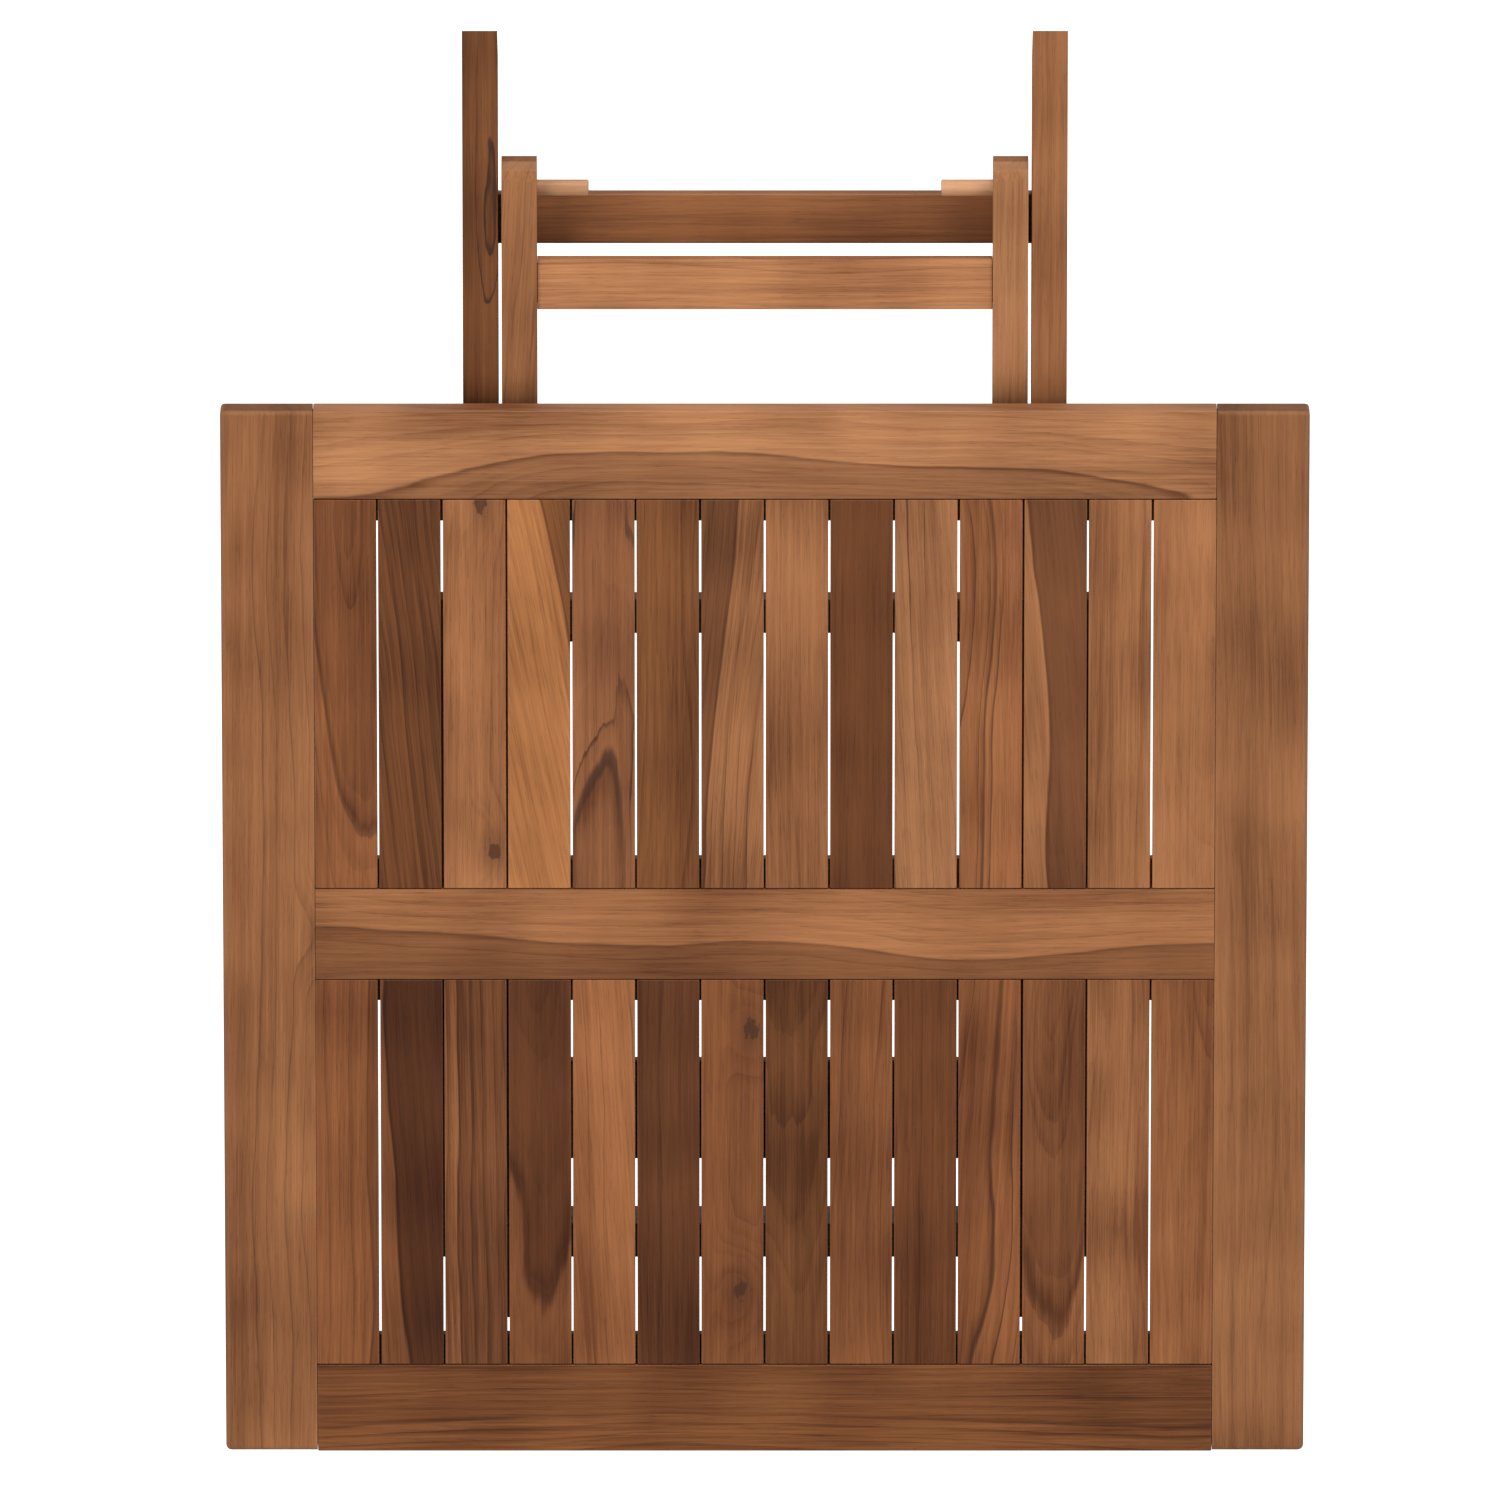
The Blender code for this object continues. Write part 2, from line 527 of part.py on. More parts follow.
def bolt_set(name: str, ending: str, side: int, head_face: float, nut_face: float, y: float) -> None:
    """A domed bolt from the outside, and its round nut in the recess of the inner piece."""
    shank = head_face - nut_face + FIT
    turns = [math.pi / 2 * step / DOME_STEPS for step in range(DOME_STEPS + 1)]
    dome = [(BOLT_HEAD_RADIUS * math.sin(turn), BOLT_HEAD_THICKNESS * math.cos(turn)) for turn in turns]
    bolt = [*dome, (BOLT_RADIUS, 0.0), (BOLT_RADIUS, -shank), (0.0, -shank)]
    turned(f"{name}_bolt_{ending}", bolt, side * (head_face + FIT), y, AXIS_Z, side, METAL)
    ring = [(NUT_RADIUS, NUT_THICKNESS), (NUT_RADIUS, 0.0), (BOLT_RADIUS + HOLE_CLEARANCE, 0.0),
            (BOLT_RADIUS + HOLE_CLEARANCE, NUT_THICKNESS), (NUT_RADIUS, NUT_THICKNESS)]
    turned(f"{name}_nut_{ending}", ring, side * (nut_face + FIT / 2), y, AXIS_Z, side, METAL)


def hardware() -> None:
    """Hinge bolts, pivot bolts, their nuts, and the washers between the legs."""
    for ending, side in sides():
        bolt_set("hinge", ending, side, RUNNER_X + RUNNER_WIDTH / 2, OUTER_LEG_X - LEG_WIDTH / 2, HINGE_Y)
        bolt_set("pivot", ending, side, LEG_SPREAD, INNER_LEG_FACE_X, PIVOT_Y)
        spare = (LEG_TO_LEG - WASHER_THICKNESS) / 2
        washer = [(WASHER_RADIUS, WASHER_THICKNESS), (WASHER_RADIUS, 0.0), (BOLT_RADIUS + HOLE_CLEARANCE, 0.0),
                  (BOLT_RADIUS + HOLE_CLEARANCE, WASHER_THICKNESS), (WASHER_RADIUS, WASHER_THICKNESS)]
        turned(f"pivot_washer_{ending}", washer, side * (INNER_LEG_X + LEG_WIDTH / 2 + spare),
               PIVOT_Y, AXIS_Z, side, METAL)


top_frame()
slats()
subframe()
outer_frame()
inner_frame()
hardware()
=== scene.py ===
"""The folded teak table: eased and oiled timber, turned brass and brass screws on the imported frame.

Every piece is placed from the frame's own nodes, in metres. The wood is one procedural finish. Each
piece says where the heart of its log ran, so arches, straight grain, end grain and the dark heart
of the wood all come from the same rings.
"""

import json
import logging
import math
from collections.abc import Iterable, Sequence
from dataclasses import dataclass, field, replace
from enum import Enum

import bmesh
import bpy
import numpy as np
from mathutils import Matrix, Vector


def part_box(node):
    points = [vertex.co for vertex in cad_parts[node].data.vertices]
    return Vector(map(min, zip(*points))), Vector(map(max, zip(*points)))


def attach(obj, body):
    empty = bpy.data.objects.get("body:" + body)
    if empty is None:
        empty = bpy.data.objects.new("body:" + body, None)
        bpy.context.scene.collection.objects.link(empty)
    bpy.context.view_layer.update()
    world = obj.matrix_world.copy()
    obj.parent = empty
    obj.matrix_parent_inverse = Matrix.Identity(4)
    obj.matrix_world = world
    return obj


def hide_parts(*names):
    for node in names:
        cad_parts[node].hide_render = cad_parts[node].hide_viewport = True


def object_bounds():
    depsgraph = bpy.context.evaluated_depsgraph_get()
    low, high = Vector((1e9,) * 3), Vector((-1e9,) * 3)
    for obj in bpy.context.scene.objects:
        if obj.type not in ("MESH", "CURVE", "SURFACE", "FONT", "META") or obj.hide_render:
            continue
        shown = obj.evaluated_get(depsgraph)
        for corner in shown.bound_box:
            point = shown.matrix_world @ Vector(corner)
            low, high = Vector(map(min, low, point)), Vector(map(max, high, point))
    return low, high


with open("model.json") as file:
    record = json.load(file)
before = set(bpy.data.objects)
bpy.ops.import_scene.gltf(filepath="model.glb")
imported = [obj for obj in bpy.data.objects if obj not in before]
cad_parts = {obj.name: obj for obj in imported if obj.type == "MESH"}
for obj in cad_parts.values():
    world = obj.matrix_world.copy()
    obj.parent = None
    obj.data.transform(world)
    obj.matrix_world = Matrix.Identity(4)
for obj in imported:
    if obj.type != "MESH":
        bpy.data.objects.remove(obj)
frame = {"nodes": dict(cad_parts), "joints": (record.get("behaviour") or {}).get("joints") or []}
CAD_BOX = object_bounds()

log = logging.getLogger("folding_table")
MM = 0.001
MERGE = 1e-6  # points closer than this are one
FLAT_WITHIN = math.radians(0.6)  # faces that meet at less are one flat face
EDGE_FROM = math.radians(22)  # faces that meet at more have an edge between them
SIDES = ("left", "right")
KNOTS = ("knot_one", "knot_two")  # the attributes that hold where a board's knots lie
Colour = tuple[float, float, float]


# --- Choices -----------------------------------------------------------------------------------
class Tone(Enum):
    """How dark a board is: the share of red, green and blue light that its plain face gives back."""

    COCOA = (0.085, 0.027, 0.009)
    UMBER = (0.116, 0.038, 0.012)
    WALNUT = (0.129, 0.042, 0.0135)
    CHESTNUT = (0.151, 0.053, 0.017)
    RUSSET = (0.170, 0.058, 0.020)
    NUTMEG = (0.192, 0.071, 0.028)
    TAN = (0.219, 0.080, 0.029)
    HONEY = (0.264, 0.104, 0.040)
    AMBER = (0.317, 0.121, 0.040)
    STRAW = (0.330, 0.140, 0.058)
    PALE = (0.406, 0.207, 0.108)


@dataclass(frozen=True)
class Pith:
    """Where the middle of the log runs, seen from the middle of a board's face.

    Attributes:
        across: how far it lies to the right of the board's middle line, in metres.
        depth: how far it lies below the board's middle plane, in metres.
        drift: how far it moves to the right for each metre along the board.
        climb: how far it rises for each metre along the board.
    """

    across: float
    depth: float
    drift: float = 0.0
    climb: float = 0.0


class Sawing(Enum):
    """The usual ways of sawing a board out of a log."""

    QUARTER = Pith(0.110, 0.012, 0.004)
    QUARTER_LEFT = Pith(-0.100, 0.016, -0.006)
    RIFT_RIGHT = Pith(0.060, 0.030, -0.060)
    RIFT_LEFT = Pith(-0.060, 0.030, 0.060)
    ARCH_UP = Pith(0.003, 0.028, 0.0, -0.050)
    ARCH_DOWN = Pith(-0.003, 0.028, 0.0, 0.060)
    HALF_ARCH = Pith(0.020, 0.028, 0.010, 0.055)


class Grain(Enum):
    """The way the grain runs: the axes along, across and out of a piece."""

    ALONG_X = ((1, 0, 0), (0, 1, 0), (0, 0, 1))
    ALONG_Y = ((0, 1, 0), (1, 0, 0), (0, 0, 1))
    ALONG_Z = ((0, 0, 1), (1, 0, 0), (0, 1, 0))


@dataclass(frozen=True)
class Timber:
    """One board: its tone, how it was sawn, and how strongly its figure shows.

    Attributes:
        tone: the board's colour.
        pith: where the middle of its log ran.
        rings: how dark the growth lines are, from 0 to 1.
        ink: how dark the few black lines are, from 0 to 1. One of them follows the heartwood's edge.
        heart: the radius at which the dark heartwood ends, in metres. Below zero, the wood outside
            that radius is the dark one.
        knots: where knots lie, as (along, across) from the board's middle, in metres.
        depth: how much darker the heartwood is, from 0 to 1.
        shade: how light this board is beside others of its tone.
    """

    tone: Tone
    pith: Pith
    rings: float = 0.35
    ink: float = 0.0
    heart: float = 0.0
    knots: tuple[tuple[float, float], ...] = ()
    depth: float = 0.45
    shade: float = 1.0

    def colour(self) -> tuple[float, float, float, float]:
        """The board's own colour, with the heartwood's depth as its fourth number."""
        return (*(part * self.shade for part in self.tone.value), self.depth)


@dataclass(frozen=True)
class Member:
    """One wooden member of a frame: its board, the way its grain runs, and its material slot."""

    timber: Timber
    grain: Grain
    slot: str = "teak_frame"


# --- Node trees --------------------------------------------------------------------------------
class Web:
    """Adds nodes to a tree and joins them up."""

    def __init__(self, tree: bpy.types.NodeTree) -> None:
        """Keeps the tree that the nodes go in."""
        self.tree = tree

    def add(self, kind: str, **settings: object) -> bpy.types.Node:
        """Makes a node.

        Args:
            kind: the node's class name.
            settings: properties to set on it.

        Returns:
            The new node.
        """
        node = self.tree.nodes.new(kind)
        for name, value in settings.items():
            setattr(node, name, value)
        return node

    def feed(self, socket: bpy.types.NodeSocket, value: object) -> None:
        """Joins a socket to another, or sets it to a plain value.

        Args:
            socket: the input.
            value: a socket or a plain value.
        """
        if isinstance(value, bpy.types.NodeSocket):
            self.tree.links.new(value, socket)
        else:
            socket.default_value = value

    def maths(self, operation: str, *values: object, clamp: bool = False) -> bpy.types.NodeSocket:
        """One Math node.

        Args:
            operation: what it works out, such as MULTIPLY.
            values: its numbers or sockets, in order.
            clamp: whether its result is held between 0 and 1.

        Returns:
            The result's socket.
        """
        node = self.add("ShaderNodeMath", operation=operation, use_clamp=clamp)
        for socket, value in zip(node.inputs, values):
            self.feed(socket, value)
        return node.outputs[0]

    def vector(self, operation: str, *values: object) -> bpy.types.NodeSocket:
        """One Vector Math node with a vector for its result.

        Args:
            operation: what it works out, such as ADD.
            values: its vectors or sockets, in order.

        Returns:
            The result's socket.
        """
        node = self.add("ShaderNodeVectorMath", operation=operation)
        for socket, value in zip(node.inputs, values):
            self.feed(socket, value)
        return node.outputs["Vector"]

    def length(self, value: object) -> bpy.types.NodeSocket:
        """The length of a vector."""
        node = self.add("ShaderNodeVectorMath", operation="LENGTH")
        self.feed(node.inputs[0], value)
        return node.outputs["Value"]

    def read(self, name: str, output: str = "Vector") -> bpy.types.NodeSocket:
        """A mesh attribute, by name."""
        return self.add("ShaderNodeAttribute", attribute_name=name).outputs[output]

    def split(self, value: object) -> list[bpy.types.NodeSocket]:
        """The three parts of a vector."""
        node = self.add("ShaderNodeSeparateXYZ")
        self.feed(node.inputs[0], value)
        return list(node.outputs)

    def noise(self, at: object, stretch: Sequence[float], detail: float = 2.0,
              colour: bool = False) -> bpy.types.NodeSocket:
        """Noise that is stretched along the grain.

        Args:
            at: where it is read.
            stretch: how many waves there are in a metre, along each axis.
            detail: how many finer layers it has.
            colour: whether to return three numbers instead of one.

        Returns:
            The noise's socket, with values around 0.5.
        """
        node = self.add("ShaderNodeTexNoise")
        self.feed(node.inputs["Vector"], self.vector("MULTIPLY", at, tuple(stretch)))
        node.inputs["Scale"].default_value = 1.0
        node.inputs["Detail"].default_value = detail
        return node.outputs["Color" if colour else "Fac"]

    def step(self, value: object, start: object, end: object, low: float = 0.0,
             high: float = 1.0) -> bpy.types.NodeSocket:
        """A smooth step from low to high, as the value goes from start to end.

        Args:
            value: what is measured.
            start: where the step begins.
            end: where it ends.
            low: the result before the step.
            high: the result after it.

        Returns:
            The result's socket.
        """
        node = self.add("ShaderNodeMapRange", interpolation_type="SMOOTHSTEP")
        for socket, given in zip(node.inputs, (value, start, end, low, high)):
            self.feed(socket, given)
        return node.outputs[0]

    def mixed(self, share: object, first: object, second: object,
              blend: str = "MIX") -> bpy.types.NodeSocket:
        """One colour over another.

        Args:
            share: how much of the second colour shows.
            first: the colour below.
            second: the colour above.
            blend: how they are mixed.

        Returns:
            The mixed colour's socket.
        """
        node = self.add("ShaderNodeMix", data_type="RGBA", blend_type=blend)
        for index, value in ((0, share), (6, first), (7, second)):
            self.feed(node.inputs[index], value)
        return node.outputs[2]

    def bump(self, height: object, distance: float, strength: float) -> bpy.types.NodeSocket:
        """A normal that stands up with the height.

        Args:
            height: how high the surface is, from 0 to 1.
            distance: what a height of 1 is, in metres.
            strength: how much of the bump shows.

        Returns:
            The normal's socket.
        """
        node = self.add("ShaderNodeBump")
        node.inputs["Strength"].default_value = strength
        node.inputs["Distance"].default_value = distance
        self.feed(node.inputs["Height"], height)
        return node.outputs[0]


def new_surface(name: str) -> tuple[bpy.types.Material, Web, bpy.types.Node]:
    """An empty material with one Principled shader.

    Args:
        name: the material's name.

    Returns:
        The material, its web and its shader.
    """
    material = bpy.data.materials.new(name)
    material.use_nodes = True
    return material, Web(material.node_tree), material.node_tree.nodes["Principled BSDF"]


# --- Finishes ----------------------------------------------------------------------------------
@dataclass(frozen=True)
class Layer:
    """One layer of light and dark in the wood.

    Attributes:
        waves: how many waves there are in a metre, across, up and along the log.
        detail: how many finer layers it has.
        share: how much it lightens and darkens.
    """

    waves: tuple[float, float, float]
    detail: float
    share: float

    def socket(self, web: Web, at: bpy.types.NodeSocket) -> bpy.types.NodeSocket:
        """The layer's noise at a place."""
        return web.noise(at, self.waves, self.detail)


@dataclass(frozen=True)
class OiledTeak:
    """Sanded teak under a satin oil.

    Attributes:
        name: the material's name.
        wander: how rings stray from round, as (waves in a metre, reach in metres).
        ring_width: how far apart the growth lines are, in metres.
        ring_spread: how much good and bad seasons shift them, in metres.
        ring_share: how much late wood darkens.
        rim_share: how much the heartwood's rim darkens.
        pore_share: how much pores darken.
        bands: broad bands along the grain.
        clouds: blotches and slow changes, which are the same on quiet and lively boards.
        streaks: short streaks, which are stronger on boards with strong rings.
        fibre: the finest streaks, which the oil and the bumps follow too.
        pores: where pores open, as waves in a metre.
        middle_light: how light the wood is between its dark and pale ends, before the layers.
        dark: what the board's tone is multiplied by where it is darkest.
        pale: what the board's tone is multiplied by where it is palest.
        heartwood: what the colour is multiplied by in the dark heart of the wood.
        ink: the colour of the black lines.
        knot: the colour of the knots.
        end_grain: the colour that end grain soaks up to.
        bare_and_highlight: the colour that rounded edges are paled towards, partly rubbed wear and partly a
            painted highlight.
        roughness: how matt the oil has dried.
        specular: how strongly the oil mirrors.
        pore_depth: how deep the pores are, in metres.
    """

    name: str = "oiled_teak"
    wander: tuple[tuple[tuple[float, float, float], float], ...] = (
        ((9, 9, 3.2), 0.040), ((48, 48, 10), 0.0060), ((260, 260, 34), 0.0012))
    ring_width: float = 0.0050
    ring_spread: float = 0.011
    ring_share: float = 0.50
    rim_share: float = 0.30
    pore_share: float = 0.15
    bands: Layer = Layer((32, 32, 1.5), 2.0, 0.90)
    clouds: tuple[Layer, ...] = (Layer((15, 15, 11), 2.0, 0.80), Layer((3, 3, 8), 1.0, 1.00))
    streaks: Layer = Layer((230, 230, 3.4), 3.0, 0.60)
    fibre: Layer = Layer((950, 950, 16), 2.0, 0.70)
    pores: tuple[float, float, float] = (1300, 1300, 70)
    middle_light: float = 0.55
    dark: Colour = (0.50, 0.43, 0.40)
    pale: Colour = (1.42, 1.50, 1.55)
    heartwood: Colour = (0.40, 0.34, 0.31)
    ink: Colour = (0.030, 0.013, 0.009)
    knot: Colour = (0.045, 0.018, 0.010)
    end_grain: Colour = (0.060, 0.026, 0.013)
    bare_and_highlight: Colour = (0.42, 0.23, 0.12)
    roughness: float = 0.50
    specular: float = 0.12
    pore_depth: float = 0.00018

    def from_knot(self, web: Web, place: bpy.types.NodeSocket, knot: str,
                  along: float) -> bpy.types.NodeSocket:
        """How far a point lies from a knot.

        Args:
            web: the material's web.
            place: the point's place in its log.
            knot: the attribute that holds the knot's place.
            along: how much a distance along the log counts, so that the knot is drawn out.

        Returns:
            The distance, in metres.
        """
        away = web.vector("SUBTRACT", place, web.read(knot))
        return web.length(web.vector("MULTIPLY", away, (1, 1, along)))

    def radius(self, web: Web, place: bpy.types.NodeSocket) -> bpy.types.NodeSocket:
        """How far a point lies from the middle of its log, along rings that wander and swell at knots.

        Args:
            web: the material's web.
            place: the point's place in its log.

        Returns:
            The distance, in metres.
        """
        knot_reach, knot_swell = 0.030, 0.016
        round_log = web.vector("MULTIPLY", place, (1, 1, 0))
        for waves, reach in self.wander:
            astray = web.vector("SUBTRACT", web.noise(place, waves, 1.0, colour=True), (0.5, 0.5, 0.5))
            round_log = web.vector("ADD", round_log, web.vector("MULTIPLY", astray, (reach, reach, 0)))
        away = web.length(round_log)
        for knot in KNOTS:
            swell = web.step(self.from_knot(web, place, knot, 0.5), knot_reach, 0.0, 0.0, knot_swell)
            away = web.maths("ADD", away, swell)
        return away

    def knot_mark(self, web: Web, place: bpy.types.NodeSocket) -> bpy.types.NodeSocket:
        """How dark the knots are at a point: a ragged core in a soft halo.

        Args:
            web: the material's web.
            place: the point's place in its log.

        Returns:
            The darkness, from 0 to 1.
        """
        core_share, halo_share = 0.80, 0.34
        edge = web.maths("MULTIPLY_ADD", web.noise(place, (260, 260, 160), 3.0), 0.012, -0.0015)
        marks = []
        for knot in KNOTS:
            away = self.from_knot(web, place, knot, 0.6)
            core = web.step(web.maths("SUBTRACT", away, edge), 0.0015, -0.001, 0.0, core_share)
            marks.append(web.maths("MAXIMUM", core, web.step(away, 0.017, 0.002, 0.0, halo_share)))
        return web.maths("MAXIMUM", *marks)

    def growth_lines(self, web: Web, radius: bpy.types.NodeSocket) -> tuple[bpy.types.NodeSocket, ...]:
        """The lines that each season leaves.

        Args:
            web: the material's web.
            radius: how far the point lies from the middle of its log.

        Returns:
            How much late wood there is, and how much of a black line, each from 0 to 1.
        """
        outwards = web.add("ShaderNodeCombineXYZ")
        web.feed(outwards.inputs["X"], radius)
        seasons = web.maths("SUBTRACT", web.noise(outwards.outputs[0], (75, 0, 0), 1.0), 0.5)
        grown = web.maths("MULTIPLY_ADD", seasons, self.ring_spread, radius)
        counted = web.maths("DIVIDE", grown, self.ring_width)
        luck = web.add("ShaderNodeTexWhiteNoise", noise_dimensions="1D")
        web.feed(luck.inputs["W"], web.maths("FLOOR", counted))
        chance = luck.outputs["Value"]
        part = web.maths("FRACT", counted)
        late = web.maths("MULTIPLY", web.step(part, 0.25, 0.93), web.step(part, 1.0, 0.95))
        line = web.maths("MULTIPLY", web.step(part, 0.80, 0.92), web.step(part, 1.0, 0.96))
        rings = web.maths("MULTIPLY", late, web.maths("MULTIPLY_ADD", chance, 0.9, 0.1))
        return rings, web.maths("MULTIPLY", line, web.step(chance, 0.60, 0.66))

    def heart_zone(self, web: Web, heart: bpy.types.NodeSocket,
                   radius: bpy.types.NodeSocket) -> tuple[bpy.types.NodeSocket, ...]:
        """The dark heart of the wood.

        Args:
            web: the material's web.
            heart: the radius at which it ends. Below zero, the wood outside that radius is the dark one.
            radius: how far the point lies from the middle of its log.

        Returns:
            Whether a point is in it, how near it is to its rim on the inside, and whether it is on
            its edge, each from 0 to 1.
        """
        reach = web.maths("ABSOLUTE", heart)
        inward = web.maths("MULTIPLY", web.maths("SIGN", heart), web.maths("SUBTRACT", reach, radius))
        present = web.step(reach, 0.0005, 0.001)
        zone = web.maths("MULTIPLY", web.step(inward, -0.0006, 0.0008), present)
        rim = web.maths("MULTIPLY", zone, web.step(inward, 0.0035, 0.0005))
        edge = web.maths("MULTIPLY", web.step(web.maths("ABSOLUTE", inward), 0.0012, 0.0003), present)
        return zone, rim, edge

    def lightness(self, web: Web, fibres: bpy.types.NodeSocket, fibre: bpy.types.NodeSocket,
                  ring_dark: bpy.types.NodeSocket,
                  darkened: Iterable[tuple[float, bpy.types.NodeSocket]]) -> bpy.types.NodeSocket:
        """How light the wood is, from its dark end to its pale end.

        Args:
            web: the material's web.
            fibres: the point's place along straight fibres.
            fibre: the finest streaks.
            ring_dark: how strong the board's rings are.
            darkened: what darkens the wood, each with its share.

        Returns:
            The lightness, from 0 to 1.
        """
        lively = web.maths("MULTIPLY_ADD", ring_dark, 1.2, 0.6)
        light = self.middle_light
        for layer in (self.bands, *self.clouds):
            change = web.maths("SUBTRACT", layer.socket(web, fibres), 0.5)
            light = web.maths("ADD", light, web.maths("MULTIPLY", change, layer.share))
        for layer, noise in ((self.streaks, self.streaks.socket(web, fibres)), (self.fibre, fibre)):
            change = web.maths("MULTIPLY", web.maths("SUBTRACT", noise, 0.5), layer.share)
            light = web.maths("ADD", light, web.maths("MULTIPLY", change, lively))
        for share, source in darkened:
            light = web.maths("SUBTRACT", light, web.maths("MULTIPLY", source, share))
        return web.maths("ADD", light, 0.0, clamp=True)

    def material(self) -> bpy.types.Material:
        """The finish, for every wooden piece.

        Returns:
            A material that reads log, fibre, tone, figure, knots, end_grain and the pale-edge mask from the
            mesh. The pale edges are partly rubbed wear and partly a painted highlight.
        """
        made, web, shader = new_surface(self.name)
        place = web.read("log")
        fibres = web.read("fibre")
        ring_dark, ink_dark, heart = web.split(web.read("figure"))
        end_grain = web.read("end_grain", "Fac")
        # The pale-edge mask: how far a face is off flat. It pales the rounded edges, partly as rubbed wear
        # and partly as a painted highlight.
        worn = web.read("worn", "Fac")

        radius = self.radius(web, place)
        late, line = self.growth_lines(web, radius)
        rings = web.maths("MULTIPLY", late, ring_dark)
        zone, rim, edge = self.heart_zone(web, heart, radius)
        patchy = web.step(web.noise(place, (14, 14, 5), 1.0), 0.38, 0.58)
        edge = web.maths("MULTIPLY", edge, web.maths("MULTIPLY_ADD", patchy, 0.7, 0.3))
        ink = web.maths("MULTIPLY", web.maths("MAXIMUM", web.maths("MULTIPLY", line, patchy), edge), ink_dark)

        fibre = self.fibre.socket(web, fibres)
        pores = web.step(web.noise(fibres, self.pores, 1.0), 0.60, 0.72)
        light = self.lightness(web, fibres, fibre, ring_dark, (
            (self.ring_share, rings), (self.rim_share, rim), (self.pore_share, pores)))

        tone = web.read("tone", "Color")
        dark, pale = (web.mixed(1.0, tone, (*share, 1), "MULTIPLY") for share in (self.dark, self.pale))
        colour = web.mixed(light, dark, pale)
        heartwood = web.mixed(1.0, colour, (*self.heartwood, 1), "MULTIPLY")
        colour = web.mixed(web.maths("MULTIPLY", zone, web.read("tone", "Alpha")), colour, heartwood)
        # Ink, knots and end grain are the wood's own. The last pair pales the rounded edges, partly as rubbed
        # wear and partly as a painted highlight.
        for share, source, over in ((0.8, ink, self.ink), (1.0, self.knot_mark(web, place), self.knot),
                                    (0.38, end_grain, self.end_grain), (0.16, worn, self.bare_and_highlight)):
            colour = web.mixed(web.maths("MULTIPLY", source, share), colour, (*over, 1))
        web.feed(shader.inputs["Base Color"], colour)

        dryness = web.maths("MULTIPLY_ADD", fibre, 0.22, self.roughness - 0.11)
        dryness = web.maths("ADD", dryness, web.maths("MULTIPLY", end_grain, 0.18), clamp=True)
        web.feed(shader.inputs["Roughness"], dryness)
        shader.inputs["Specular IOR Level"].default_value = self.specular
        height = web.maths("MULTIPLY", fibre, 0.5)
        for share, source in ((0.7, pores), (0.4, rings)):
            height = web.maths("SUBTRACT", height, web.maths("MULTIPLY", source, share))
        web.feed(shader.inputs["Normal"], web.bump(height, self.pore_depth, 0.7))
        return made


@dataclass(frozen=True)
class TurnedBrass:
    """Lacquered brass with a little tarnish and fine turning marks."""

    name: str = "turned_brass"
    bright: Colour = (0.62, 0.43, 0.19)
    tarnish: Colour = (0.26, 0.16, 0.075)
    roughness: float = 0.30

    def material(self) -> bpy.types.Material:
        """The finish, on object coordinates.

        Returns:
            The material.
        """
        made, web, shader = new_surface(self.name)
        place = web.add("ShaderNodeTexCoord").outputs["Object"]
        cloud = web.step(web.noise(place, (190, 190, 190), 3.0), 0.46, 0.68)
        marks = web.noise(place, (400, 5200, 5200), 1.0)
        shader.inputs["Metallic"].default_value = 1.0
        web.feed(shader.inputs["Base Color"], web.mixed(cloud, (*self.bright, 1), (*self.tarnish, 1)))
        matt = web.maths("MULTIPLY_ADD", cloud, 0.25, self.roughness - 0.05)
        web.feed(shader.inputs["Roughness"], web.maths("ADD", matt, web.maths("MULTIPLY", marks, 0.1)))
        web.feed(shader.inputs["Normal"], web.bump(marks, 0.00003, 0.4))
        return made


@dataclass(frozen=True)
class StudioPaper:
    """The white ground, which shows white between the slats and throws no light of its own on them.

    Seen from under it, the paper isn't there, so that the underside of the table shows.
    """

    name: str = "studio_paper"
    glow: float = 0.90
    paint: float = 0.45

    def material(self) -> bpy.types.Material:
        """A matt white that glows.

        Returns:
            The material.
        """
        made, web, shader = new_surface(self.name)
        place = web.add("ShaderNodeTexCoord").outputs["Object"]
        tooth = web.noise(place, (350, 350, 350), 2.0)
        shade = web.mixed(tooth, (self.paint - 0.01,) * 3 + (1,), (self.paint + 0.01,) * 3 + (1,))
        web.feed(shader.inputs["Base Color"], shade)
        shader.inputs["Roughness"].default_value = 0.95
        shader.inputs["Specular IOR Level"].default_value = 0.0
        shader.inputs["Emission Color"].default_value = (1.0, 1.0, 1.0, 1.0)
        seen = web.add("ShaderNodeLightPath").outputs["Is Camera Ray"]
        web.feed(shader.inputs["Emission Strength"], web.maths("MULTIPLY", seen, self.glow))
        behind = web.add("ShaderNodeNewGeometry").outputs["Backfacing"]
        web.feed(shader.inputs["Alpha"], web.maths("SUBTRACT", 1.0, behind))
        return made


# --- Meshes ------------------------------------------------------------------------------------
def show(item: bpy.types.Object) -> bpy.types.Object:
    """Puts an object in the scene."""
    bpy.context.scene.collection.objects.link(item)
    return item


def from_shape(name: str, shape: bmesh.types.BMesh) -> bpy.types.Object:
    """Makes an object out of a bmesh, which is freed.

    Args:
        name: the object's name.
        shape: the bmesh.

    Returns:
        The new object, in the scene.
    """
    mesh = bpy.data.meshes.new(name)
    shape.to_mesh(mesh)
    shape.free()
    return show(bpy.data.objects.new(name, mesh))


def settle(item: bpy.types.Object) -> bpy.types.Object:
    """Turns an object's modifiers into plain mesh and removes them.

    Args:
        item: the object.

    Returns:
        The same object.
    """
    bpy.context.view_layer.update()
    graph = bpy.context.evaluated_depsgraph_get()
    mesh = bpy.data.meshes.new_from_object(item.evaluated_get(graph))
    item.modifiers.clear()
    item.data = mesh
    mesh.name = item.name
    return item


